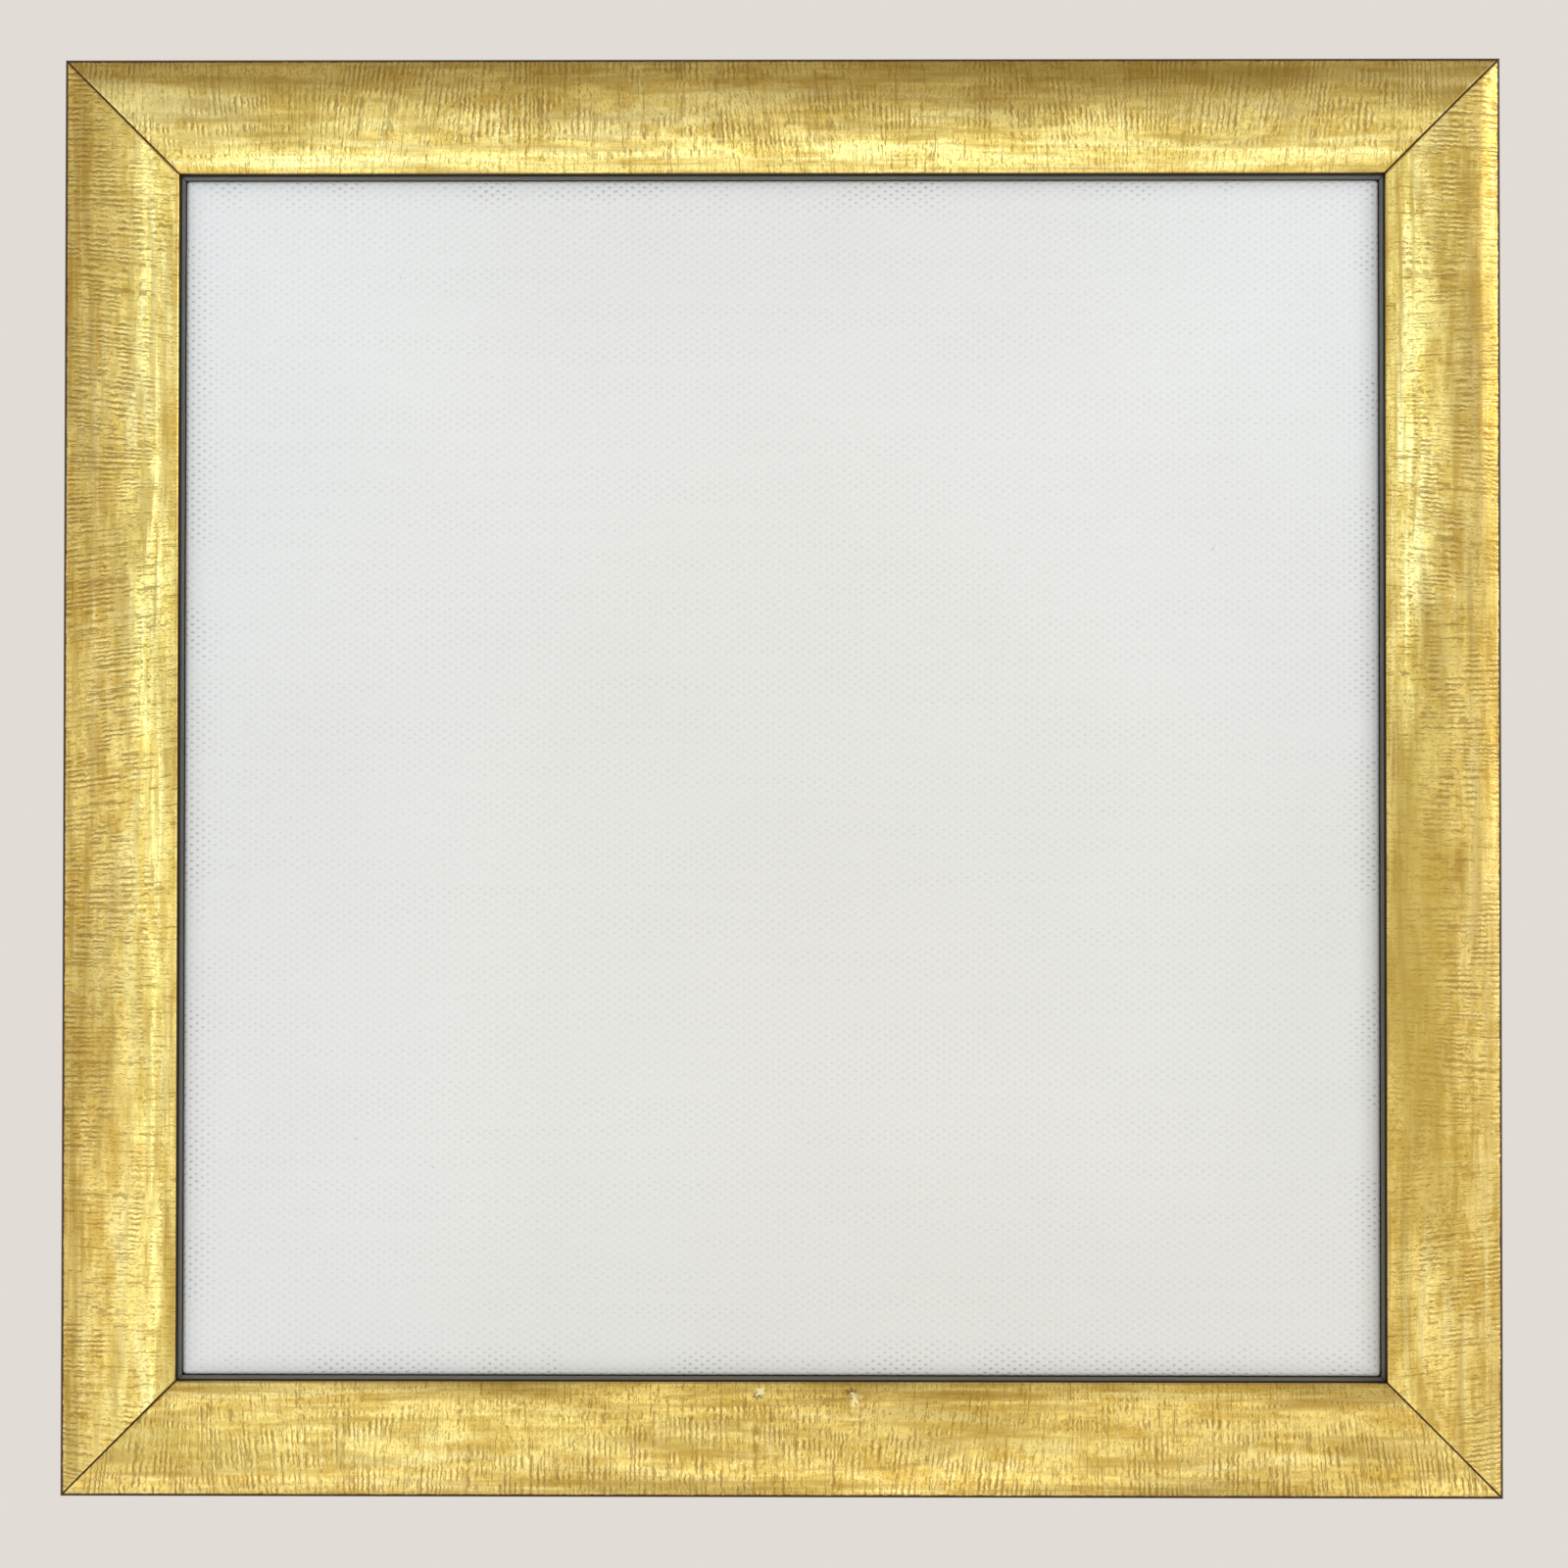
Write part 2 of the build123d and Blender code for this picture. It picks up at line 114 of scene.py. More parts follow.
# ---- wiring of materials --------------------------------------------------------------------------------
class Wiring:
    """Short ways to add nodes to one shader tree. A value is a number, a tuple or another node's socket."""

    def __init__(self, tree):
        self.tree = tree

    def add(self, kind, inputs=None, **settings):
        """One node, its own settings made and its inputs filled."""
        node = self.tree.nodes.new(kind)
        for name, value in settings.items():
            setattr(node, name, value)
        for name, value in (inputs or {}).items():
            self.fill(node.inputs[name], value)
        return node

    def fill(self, socket, value):
        if isinstance(value, bpy.types.NodeSocket):
            self.tree.links.new(value, socket)
        else:
            socket.default_value = value

    def math(self, operation, a, b=0.0, clamp=False):
        node = self.add("ShaderNodeMath", {0: a, 1: b}, operation=operation, use_clamp=clamp)
        return node.outputs[0]

    def times(self, a, b):
        return self.math("MULTIPLY", a, b)

    def plus(self, a, b):
        return self.math("ADD", a, b)

    def minus(self, a, b):
        return self.math("SUBTRACT", a, b)

    def largest(self, first, *others):
        for other in others:
            first = self.math("MAXIMUM", first, other)
        return first

    def vector(self, operation, a, b=(0.0, 0.0, 0.0)):
        return self.add("ShaderNodeVectorMath", {0: a, 1: b}, operation=operation).outputs["Vector"]

    def remap(self, value, low, high, to_low=0.0, to_high=1.0):
        """A soft step from to_low at low to to_high at high."""
        inputs = {"Value": value, "From Min": low, "From Max": high, "To Min": to_low, "To Max": to_high}
        return self.add("ShaderNodeMapRange", inputs, interpolation_type="SMOOTHSTEP").outputs["Result"]

    def noise(self, place, stretch=None, scale=1.0, detail=2.0, roughness=0.5, distortion=0.0):
        """Soft noise, its pattern shortened or lengthened by stretch in each direction."""
        if stretch:
            place = self.vector("MULTIPLY", place, stretch)
        inputs = {"Vector": place, "Scale": scale, "Detail": detail, "Roughness": roughness,
                  "Distortion": distortion}
        return self.add("ShaderNodeTexNoise", inputs).outputs["Fac"]

    def mix(self, share, a, b):
        return self.add("ShaderNodeMix", {0: share, 6: a, 7: b}, data_type="RGBA").outputs[2]

    def blend_value(self, share, a, b):
        return self.add("ShaderNodeMix", {0: share, 2: a, 3: b}, data_type="FLOAT").outputs[0]

    def spot(self, place, centre, size, ragged=0.0):
        """1 in the middle of an oval mark, 0 outside it. Centre and size are along and across, in mm."""
        away = self.vector("SUBTRACT", place, (*centre, 0.0))
        away = self.vector("MULTIPLY", away, (1 / size[0], 1 / size[1], 0.0))
        reach = self.add("ShaderNodeVectorMath", {0: away}, operation="LENGTH").outputs["Value"]
        return self.remap(self.math("ADD", reach, ragged), 1.0, 0.25)

    def split(self, vector):
        return self.add("ShaderNodeSeparateXYZ", {0: vector}).outputs

    def join(self, x, y, z):
        return self.add("ShaderNodeCombineXYZ", {0: x, 1: y, 2: z}).outputs[0]

    def own_place(self):
        """Where a point is on the piece, in millimetres."""
        place = self.add("ShaderNodeTexCoord").outputs["Object"]
        return self.vector("MULTIPLY", place, EACH_MM)

    def use(self, group, inputs=None):
        return self.add("ShaderNodeGroup", inputs, node_tree=group).outputs

    def bump(self, height, depth):
        """Normals of a height from 0 to 1 that is depth metres deep."""
        inputs = {"Height": height, "Distance": depth, "Strength": 1.0}
        return self.add("ShaderNodeBump", inputs).outputs["Normal"]


def tint(colour, share=1.0):
    """A colour for a mix, made darker or lighter by a share."""
    return tuple(share * part for part in colour) + (1,)


def new_material(name, **constants):
    """A material with one Principled shader. Constants go on its own sockets, with _ for a space."""
    material = bpy.data.materials.new(name)
    material.use_nodes = True
    shader = material.node_tree.nodes["Principled BSDF"]
    for socket, value in constants.items():
        shader.inputs[socket.replace("_", " ")].default_value = value
    return material, Wiring(material.node_tree), shader.inputs


def new_group(name, inputs, outputs):
    """An empty node group, its wiring, and its input and output sockets."""
    kinds = {"value": "NodeSocketFloat", "vector": "NodeSocketVector"}
    group = bpy.data.node_groups.new(name, "ShaderNodeTree")
    for socket, (kind, default) in inputs.items():
        made = group.interface.new_socket(name=socket, in_out="INPUT", socket_type=kinds[kind])
        if default is not None:
            made.default_value = default
    for socket, kind in outputs.items():
        group.interface.new_socket(name=socket, in_out="OUTPUT", socket_type=kinds[kind])
    w = Wiring(group)
    given = w.add("NodeGroupInput").outputs
    results = w.add("NodeGroupOutput").inputs
    return group, w, given, results


def shared(make):
    """A node group is made once, and found again by its name after that."""
    def get():
        return bpy.data.node_groups.get(make.__name__) or make()
    return get


@shared
def side_run():
    """Run is the place along a side, the distance in from its outer edge and the depth, in mm, and differs
    from side to side. Seam is the distance from the mitre."""
    group, w, given, results = new_group(
        "side_run", {"Place": ("vector", None)}, {"Run": "vector", "Seam": "value"})
    x, y, z = w.split(given["Place"])
    over_x = w.minus(w.math("ABSOLUTE", x), FRAME_HALF_X / MM)
    over_z = w.minus(w.math("ABSOLUTE", z), FRAME_HALF_Z / MM)
    upright = w.math("GREATER_THAN", over_x, over_z)
    along = w.blend_value(upright, x, z)
    across = w.blend_value(upright, z, x)
    inward = w.times(w.largest(over_x, over_z), -1.0)
    positive = w.math("GREATER_THAN", across, 0.0)
    shift = w.plus(w.times(upright, UPRIGHT_SHIFT), w.times(positive, POSITIVE_SHIFT))
    w.fill(results["Run"], w.join(w.plus(along, shift), inward, y))
    gap = w.math("ABSOLUTE", w.minus(over_x, over_z))
    w.fill(results["Seam"], w.times(gap, math.sqrt(0.5)))
    return group


@shared
def wood_grain():
    """Growth rings and fibres that run along X of the given place, in mm."""
    group, w, given, results = new_group(
        "wood_grain",
        {"Run": ("vector", None), "Ring Gap": ("value", 3.0), "Waver": ("value", 1.0)},
        {"Rings": "value", "Fibres": "value", "Height": "value"})
    slow = w.vector("MULTIPLY", given["Run"], (0.007, 0.06, 0.06))
    waver = w.times(w.noise(slow, detail=2.0), w.times(given["Waver"], 9.0))
    _, across, depth = w.split(given["Run"])
    spread = w.plus(across, w.times(depth, 0.6))
    phase = w.plus(w.math("DIVIDE", spread, given["Ring Gap"]), waver)
    saw = w.math("FRACT", phase)
    late = w.remap(saw, 0.35, 0.92)
    rings = w.times(late, w.remap(saw, 1.0, 0.93))
    fine = w.vector("MULTIPLY", given["Run"], (0.09, 3.2, 3.2))
    fibres = w.noise(fine, detail=3.0, roughness=0.65)
    w.fill(results["Rings"], rings)
    w.fill(results["Fibres"], fibres)
    height = w.plus(w.times(rings, 0.4), w.times(fibres, 0.6))
    w.fill(results["Height"], height)
    return group


@shared
def handling_marks():
    """Fine scratches, cloudy smudges and small pits of a handled piece, place in mm."""
    group, w, given, results = new_group(
        "handling_marks",
        {"Place": ("vector", None), "Scratch Scale": ("value", 1.0)},
        {"Scratches": "value", "Smudges": "value", "Pits": "value"})
    sized = w.vector("MULTIPLY", given["Place"], w.join(*[given["Scratch Scale"]] * 3))
    one = w.noise(sized, (9.0, 0.6, 0.7), detail=3.0, roughness=0.7)
    two = w.noise(sized, (0.6, 0.8, 10.0), detail=3.0, roughness=0.7)
    lines = w.largest(w.remap(one, 0.56, 0.68), w.remap(two, 0.58, 0.7))
    w.fill(results["Scratches"], lines)
    w.fill(results["Smudges"], w.noise(given["Place"], scale=0.22, detail=3.0))
    w.fill(results["Pits"], w.remap(w.noise(given["Place"], scale=3.1, detail=1.0), 0.62, 0.74))
    return group


@shared
def plain_weave():
    """Plain weave, one thread up and one down, so the dents are staggered. Flat is in mm."""
    group, w, given, results = new_group(
        "plain_weave",
        {"Flat": ("vector", None), "Warp Pitch": ("value", 1.25), "Weft Pitch": ("value", 0.84)},
        {"Height": "value", "Pits": "value", "Slubs": "value"})
    uneven = w.add("ShaderNodeTexNoise", {"Vector": given["Flat"], "Scale": 0.35, "Detail": 3.0})
    waver = uneven.outputs["Color"]
    pushed = w.vector("ADD", given["Flat"], w.vector("MULTIPLY", waver, (0.9, 0.9, 0.0)))
    across, along, _ = w.split(pushed)
    warp = w.math("COSINE", w.times(w.math("DIVIDE", across, given["Warp Pitch"]), math.pi))
    weft = w.math("COSINE", w.times(w.math("DIVIDE", along, given["Weft Pitch"]), math.pi))
    crossing = w.times(warp, weft)
    knuckle = w.remap(crossing, -0.85, 0.6)
    thick_warp = w.noise(given["Flat"], (0.8, 0.05, 0.0), detail=2.0)
    thick_weft = w.noise(given["Flat"], (0.05, 1.2, 0.0), detail=2.0)
    slubs = w.times(w.plus(thick_warp, thick_weft), 0.5)
    w.fill(results["Height"], w.times(knuckle, w.plus(slubs, 0.5)))
    w.fill(results["Pits"], w.remap(crossing, -0.35, -0.95))
    w.fill(results["Slubs"], slubs)
    return group


# ---- finishes -------------------------------------------------------------------------------------------
def gold_leaf(gold):
    """Satin gold over brown clay: combed across the face, streaked along it, rubbed and glazed; painted
    highlights and shade.
    """
    material, w, shader = new_material("gold_leaf", Coat_Roughness=0.22, Coat_IOR=1.45,
                                       Specular_IOR_Level=0.25)
    run = w.use(side_run(), {"Place": w.own_place()})
    along, inward, _ = w.split(run["Run"])
    place = run["Run"]

    # comb strokes: straight lines across the face, leaning a little in places, each of its own length
    lean = w.noise(place, (0.011, 0.0, 0.0), detail=1.0)
    leant = w.times(inward, w.remap(lean, 0.38, 0.62, -0.13, 0.13))
    shaky = w.times(w.noise(place, (0.5, 0.9, 0.0), detail=3.0), 0.9)
    stroke = w.plus(w.plus(along, leant), shaky)
    teeth = w.math("DIVIDE", stroke, gold.comb_pitch / MM)
    wander = w.noise(w.join(w.times(teeth, 0.15), 0.4, 0.6), detail=1.0)
    phase = w.plus(teeth, w.times(wander, 4.0))
    wave = w.math("SINE", w.times(phase, 2 * math.pi))
    reach = w.noise(w.join(w.times(teeth, 0.4), w.times(inward, 0.34), 4.3), detail=3.0)
    patches = w.noise(place, (0.035, 0.07, 0.0), detail=2.0)
    smooth = w.noise(place, (0.03, 0.05, 6.0), detail=2.0)
    smoother = w.plus(inward, w.remap(smooth, 0.35, 0.65, -6.0, 6.0))
    rough = w.remap(smoother, 21.0, 13.0, 0.22, 1.0)
    combed = w.times(w.times(w.remap(patches, 0.34, 0.52), w.remap(reach, 0.4, 0.56)), rough)
    groove = w.times(w.remap(wave, 0.1, 0.97), combed)
    crest = w.times(w.remap(wave, -0.2, -0.97), combed)

    # loose strokes and hairlines between them
    loose = w.noise(w.join(w.times(teeth, 1.7), w.times(inward, 0.02), 9.4), detail=2.0)
    loose_reach = w.noise(w.join(w.times(teeth, 0.9), w.times(inward, 0.3), 12.6), detail=1.0)
    loosened = w.times(w.remap(loose_reach, 0.42, 0.58), w.times(rough, 0.85))
    groove = w.largest(groove, w.times(w.remap(loose, 0.46, 0.34), loosened))
    crest = w.largest(crest, w.times(w.remap(loose, 0.54, 0.66), loosened))
    fine = w.noise(w.join(w.times(teeth, 3.3), w.times(inward, 0.09), 7.7), detail=2.0, roughness=0.65)
    fine_reach = w.noise(w.join(w.times(teeth, 1.2), w.times(inward, 0.7), 2.2), detail=1.0)
    hairline = w.times(w.remap(fine, 0.5, 0.36), w.remap(fine_reach, 0.36, 0.56))

    # along the rail: broad soft tones, patches of painted highlight, thin streaks, brown glaze, cloudy wear
    # and a fine crackle
    broad = w.noise(place, (0.016, 0.07, 0.5), detail=2.0)
    highlight_patches = w.noise(place, (0.024, 0.11, 4.0), detail=2.0, roughness=0.6)
    streaks = w.noise(place, (0.03, 0.5, 0.0), detail=4.0, roughness=0.6)
    clouds = w.noise(place, (0.06, 0.16, 0.0), detail=4.0, roughness=0.62)
    speckle = w.noise(place, (2.2, 1.3, 1.0), detail=3.0, roughness=0.75)
    crackle = w.remap(w.noise(place, scale=0.75, detail=3.0, distortion=1.6), 0.5, 0.36)
    stained = w.noise(place, (0.022, 0.26, 2.0), detail=4.0, roughness=0.65, distortion=0.3)
    stained = w.remap(w.plus(stained, w.remap(inward, 14.0, 2.0, 0.0, 0.05)), 0.48, 0.66)

    tone = w.plus(w.times(streaks, 0.35), w.times(clouds, 0.65))
    leaf = w.mix(w.remap(tone, 0.43, 0.56), tint(gold.deep_colour), tint(gold.leaf_colour))
    # painted highlight: paler leaf on the comb ridges and in random patches
    leaf = w.mix(w.times(crest, 0.65), leaf, tint(gold.bright_colour))
    leaf = w.mix(w.remap(highlight_patches, 0.5, 0.66, 0.0, 0.5), leaf, tint(gold.bright_colour))
    # broad darker washes at random, kept off the middle of the left rail, and painted shade near the top of
    # the left rail
    calm = w.minus(1.0, w.spot(place, *CALM_LEFT))
    wash_and_shade = w.times(w.remap(broad, 0.52, 0.36, 0.0, 0.5), calm)
    wash_and_shade = w.largest(wash_and_shade, w.times(w.spot(place, *SHADE_UPPER_LEFT), 0.4))
    leaf = w.mix(wash_and_shade, leaf, tint(gold.shade_colour))
    worn = w.noise(place, (0.05, 0.12, 3.0), detail=3.0)
    rubbed = w.times(w.remap(worn, 0.55, 0.7), w.remap(speckle, 0.36, 0.6))
    crazed = w.times(w.remap(worn, 0.5, 0.3), crackle)
    glazed = w.largest(w.times(groove, 0.74), w.times(hairline, 0.66), w.remap(speckle, 0.5, 0.33, 0.0, 0.62),
                       w.times(rubbed, 0.55), w.times(crazed, 0.5), w.times(stained, 0.4))
    leaf = w.mix(glazed, leaf, tint(gold.glaze_colour))

    # painted shade low on the right rail, and two small chips at the inner edge of the bottom one, each with
    # a painted shadow beside it
    lower_right_shade = w.spot(place, *SHADE_LOWER_RIGHT)
    leaf = w.mix(w.times(lower_right_shade, 0.8), leaf, tint(gold.shade_colour))
    torn = w.times(w.minus(w.noise(place, scale=1.3, detail=2.0), 0.5), 3.0)
    # painted shadows: dark spots in clay colour beside the chips
    shadow_dots = w.largest(*[w.spot(place, *mark, torn) for mark in CHIP_SHADOWS])
    leaf = w.mix(w.times(shadow_dots, 0.8), leaf, tint(gold.clay_colour))
    chips = w.largest(*[w.spot(place, *mark, torn) for mark in PALE_CHIPS])
    leaf = w.mix(w.times(chips, 0.9), leaf, PALE_CHIP_COLOUR)

    # at the edges and the mitres the clay shows
    ragged = w.times(w.noise(place, scale=0.9, detail=3.0), 0.5)
    outer_edge = w.remap(w.minus(inward, ragged), 0.5, 0.2)
    edge = (FACE_WIDTH + WRAP) / MM
    inner_edge = w.remap(w.plus(inward, w.times(ragged, 0.15)), edge + 0.02, edge + 0.12)
    seam = w.remap(w.minus(run["Seam"], w.times(ragged, 0.3)), 0.2, 0.06)
    bare = w.largest(outer_edge, inner_edge, seam)
    colour = w.mix(bare, leaf, tint(gold.clay_colour))
    crack = w.remap(run["Seam"], 0.15, 0.05)
    w.fill(shader["Base Color"], w.mix(crack, colour, tint(gold.clay_colour, 0.25)))
    w.fill(shader["Metallic"], w.remap(bare, 0.2, 0.8, 1.0, 0.0))

    dull = w.plus(w.times(glazed, 0.25), w.times(speckle, 0.12))
    w.fill(shader["Roughness"], w.math("ADD", dull, gold.sheen_roughness, clamp=True))
    lacquer = w.times(w.remap(clouds, 0.3, 0.7), 0.25)
    w.fill(shader["Coat Weight"], w.times(lacquer, w.minus(1.0, bare)))

    height = w.times(crest, 0.5)
    for part, share in ((groove, -0.6), (hairline, -0.3), (speckle, 0.25), (streaks, 0.35)):
        height = w.plus(height, w.times(part, share))
    w.fill(shader["Normal"], w.bump(height, gold.comb_depth))
    return material


def stained_rail(wood):
    """A milled rail: umber stain on its walls, charcoal on the shoulder and ledge, bare wood behind."""
    material, w, shader = new_material("stained_rail", Coat_Weight=0.15, Coat_Roughness=0.35)
    run = w.use(side_run(), {"Place": w.own_place()})
    grain = w.use(wood_grain(), {"Run": run["Run"], "Ring Gap": 2.3, "Waver": 0.6})
    _, inward, depth = w.split(run["Run"])

    umber = w.mix(w.remap(grain["Fibres"], 0.35, 0.65), tint(wood.umber_colour), tint(wood.umber_colour, 1.7))
    charcoal = w.mix(w.remap(grain["Fibres"], 0.3, 0.7), tint(wood.charcoal_colour),
                     tint(wood.charcoal_colour, 1.25))
    bare = w.mix(grain["Rings"], tint(wood.rail_wood_colour), tint(wood.rail_wood_colour, 0.72))
    bare = w.mix(w.remap(grain["Fibres"], 0.62, 0.45, 0.0, 0.5), bare, tint(wood.rail_wood_colour, 0.8))

    ragged = w.times(w.noise(run["Run"], scale=0.35, detail=3.0), 1.2)
    shoulder_y = (EDGE_Y + SHOULDER_DROP) / MM
    below = w.remap(depth, shoulder_y - 0.25, shoulder_y - 0.05)
    inside = w.times(below, w.remap(inward, FACE_WIDTH / MM + 0.28, FACE_WIDTH / MM + 0.42))
    walls = w.mix(inside, umber, charcoal)
    back_y = RAIL_BACK_Y / MM
    behind = w.remap(w.minus(depth, ragged), back_y - 1.3, back_y - 0.9)
    colour = w.mix(behind, walls, bare)
    seam = w.remap(run["Seam"], 0.22, 0.05)
    w.fill(shader["Base Color"], w.mix(w.times(seam, 0.8), colour, (0.02, 0.012, 0.008, 1)))
    w.fill(shader["Roughness"], w.plus(w.times(grain["Fibres"], 0.35), 0.35))
    w.fill(shader["Normal"], w.bump(grain["Height"], STAINED_GRAIN))
    return material


def timber(name, pale, dark, ring_gap, upright, flecked=False):
    """Planed wood with its grain along the piece, and short ray flecks where the kind of wood has them."""
    material, w, shader = new_material(name, Specular_IOR_Level=0.35)
    x, y, z = w.split(w.own_place())
    run = w.join(z, x, y) if upright else w.join(x, z, y)
    grain = w.use(wood_grain(), {"Run": run, "Ring Gap": ring_gap, "Waver": 1.0})
    colour = w.mix(w.times(grain["Rings"], 0.75), tint(pale), tint(dark))
    colour = w.mix(w.remap(grain["Fibres"], 0.58, 0.42, 0.0, 0.35), colour, tint(dark))
    clouds = w.noise(run, (0.02, 0.06, 0.06), detail=2.0)
    colour = w.mix(w.remap(clouds, 0.4, 0.7, 0.0, 0.25), colour, tint(pale, 1.12))
    if flecked:
        flecks = w.noise(run, (0.5, 2.6, 2.6), detail=1.0)
        colour = w.mix(w.remap(flecks, 0.6, 0.68, 0.0, 0.55), colour, tint(dark, 0.6))
    w.fill(shader["Base Color"], colour)
    w.fill(shader["Roughness"], w.plus(w.times(grain["Fibres"], 0.3), 0.48))
    w.fill(shader["Normal"], w.bump(grain["Height"], PLANED_GRAIN))
    return material


def plated_metal(name, colour, tarnish, roughness):
    """Plated or bare metal with fine scratches, smudges and a little tarnish."""
    material, w, shader = new_material(name, Metallic=1.0)
    marks = w.use(handling_marks(), {"Place": w.own_place(), "Scratch Scale": 1.0})
    dulled = w.remap(marks["Smudges"], 0.42, 0.66)
    spots = w.largest(w.times(dulled, 0.6), w.times(marks["Pits"], 0.7))
    w.fill(shader["Base Color"], w.mix(spots, tint(colour), tint(tarnish)))
    rough = w.plus(w.times(dulled, 0.18), roughness)
    w.fill(shader["Roughness"], w.plus(rough, w.times(marks["Scratches"], 0.12)))
    height = w.plus(marks["Scratches"], marks["Pits"])
    w.fill(shader["Normal"], w.bump(w.times(height, -1.0), SCRATCHES))
    return material


def soft_rubber(name, colour):
    """Matt rubber with a fine moulded grain and dust that clings to it."""
    material, w, shader = new_material(name, Specular_IOR_Level=0.4)
    place = w.own_place()
    marks = w.use(handling_marks(), {"Place": place, "Scratch Scale": 0.6})
    dust = w.times(w.remap(marks["Smudges"], 0.45, 0.7), 0.35)
    w.fill(shader["Base Color"], w.mix(dust, tint(colour), (0.25, 0.24, 0.22, 1)))
    w.fill(shader["Roughness"], w.plus(w.times(dust, 0.5), 0.6))
    w.fill(shader["Normal"], w.bump(w.noise(place, scale=4.0, detail=2.0), MOULDED_GRAIN))
    return material


def flat_cloth(w):
    """A point's place on the cloth before it was stretched, in mm."""
    place = w.add("ShaderNodeUVMap", uv_map="flat_cloth").outputs["UV"]
    return w.vector("MULTIPLY", place, EACH_MM)


def primed_cotton(canvas):
    """White ground brushed over plain weave, which still shows as fine rows of dents with painted shade in
    them, and painted shade towards the edges.
    """
    material, w, shader = new_material("primed_cotton", Specular_IOR_Level=0.25)
    flat = flat_cloth(w)
    weave = w.use(plain_weave(), {"Flat": flat, "Warp Pitch": canvas.warp_pitch / MM,
                                  "Weft Pitch": canvas.weft_pitch / MM})
    brushed = w.noise(flat, (0.02, 0.35, 0.0), detail=3.0)
    clouds = w.noise(flat, scale=0.025, detail=2.0)
    x, z, _ = w.split(flat)
    from_edge = w.minus(CLOTH_HIGH.x / MM, w.largest(w.math("ABSOLUTE", x), w.math("ABSOLUTE", z)))
    # painted shade: the weave's dents darker near the edges
    thin = w.remap(from_edge, 9.0, 0.5)
    near = w.remap(from_edge, -3.0, 0.0, 0.25, 1.0)
    thin = w.times(w.times(thin, near), w.remap(w.noise(flat, scale=0.07, detail=2.0), 0.4, 0.62))
    shade = w.times(weave["Pits"], w.remap(brushed, 0.35, 0.65, 0.08, 0.24))
    shade = w.plus(shade, w.times(thin, w.times(weave["Pits"], 0.6)))
    shade = w.plus(shade, w.remap(clouds, 0.35, 0.7, 0.0, 0.03))
    # painted shade: the priming darker towards the edges, broadly over 60 mm and most within a few mm of the
    # rails
    edge_shade = w.plus(w.remap(from_edge, 60.0, 3.0, 0.0, 0.09), w.remap(from_edge, 5.0, 1.0, 0.0, 0.14))
    edge_shade = w.plus(edge_shade, w.remap(from_edge, 2.4, 0.2, 0.0, 0.2))
    shade = w.plus(shade, w.times(near, edge_shade))
    priming = canvas.priming_colour
    colour = w.mix(shade, tint(priming), tint(priming, 0.55))
    specks = w.remap(w.noise(flat, scale=0.55, detail=1.0), 0.79, 0.83, 0.0, 0.3)
    w.fill(shader["Base Color"], w.mix(specks, colour, (0.35, 0.34, 0.31, 1)))
    w.fill(shader["Roughness"], w.remap(brushed, 0.3, 0.7, 0.75, 0.9))
    height = w.plus(weave["Height"], w.times(brushed, 0.5))
    w.fill(shader["Normal"], w.bump(height, canvas.weave_depth))
    return material


def raw_cotton(canvas):
    """The unprimed back of the cloth: open plain weave with slubs and husk specks, its dents and lower
    threads in painted shade.
    """
    material, w, shader = new_material("raw_cotton", Specular_IOR_Level=0.2, Sheen_Weight=0.25)
    flat = flat_cloth(w)
    weave = w.use(plain_weave(), {"Flat": flat, "Warp Pitch": canvas.warp_pitch / MM,
                                  "Weft Pitch": canvas.weft_pitch / MM})
    cotton = canvas.cotton_colour
    # painted shade: the low parts of the threads and the dents darker than the raised knuckles
    colour = w.mix(w.remap(weave["Height"], 0.0, 0.9), tint(cotton, 0.72), tint(cotton))
    colour = w.mix(w.times(weave["Pits"], 0.35), colour, tint(cotton, 0.4))
    colour = w.mix(w.remap(weave["Slubs"], 0.5, 0.66, 0.0, 0.35), colour, tint(cotton, 1.15))
    husks = w.remap(w.noise(flat, scale=0.4, detail=2.0), 0.74, 0.78, 0.0, 0.6)
    w.fill(shader["Base Color"], w.mix(husks, colour, (0.2, 0.14, 0.08, 1)))
    w.fill(shader["Roughness"], w.remap(weave["Slubs"], 0.3, 0.7, 0.95, 0.85))
    w.fill(shader["Normal"], w.bump(weave["Height"], 2.2 * canvas.weave_depth))
    return material


# ---- meshes ---------------------------------------------------------------------------------------------
def soft_hills(along, across, seed, long, wide):
    """Smooth random heights from 0 to 1, in hills about long by wide."""
    lattice = np.random.default_rng(seed).random((64, 32))
    u, v = along / long + 20.3, across / wide + 5.7
    i, j = np.floor(u).astype(int), np.floor(v).astype(int)
    fu, fv = u - i, v - j
    fu, fv = fu ** 3 * (fu * (fu * 6 - 15) + 10), fv ** 3 * (fv * (fv * 6 - 15) + 10)
    i, j = i % 63, j % 31
    low = lattice[i, j] * (1 - fu) + lattice[i + 1, j] * fu
    high = lattice[i, j + 1] * (1 - fu) + lattice[i + 1, j + 1] * fu
    return low * (1 - fv) + high * fv


def new_piece(name, vertices, faces, materials, crease=35.0):
    """A mesh object that is smooth but for edges sharper than crease degrees."""
    mesh = bpy.data.meshes.new(name)
    mesh.from_pydata(vertices, [], faces)
    mesh.validate()
    piece = bpy.data.objects.new(name, mesh)
    bpy.context.scene.collection.objects.link(piece)
    for material in materials:
        mesh.materials.append(material)
    mesh.polygons.foreach_set("use_smooth", [True] * len(mesh.polygons))
    mesh.set_sharp_from_angle(angle=math.radians(crease))
    return piece


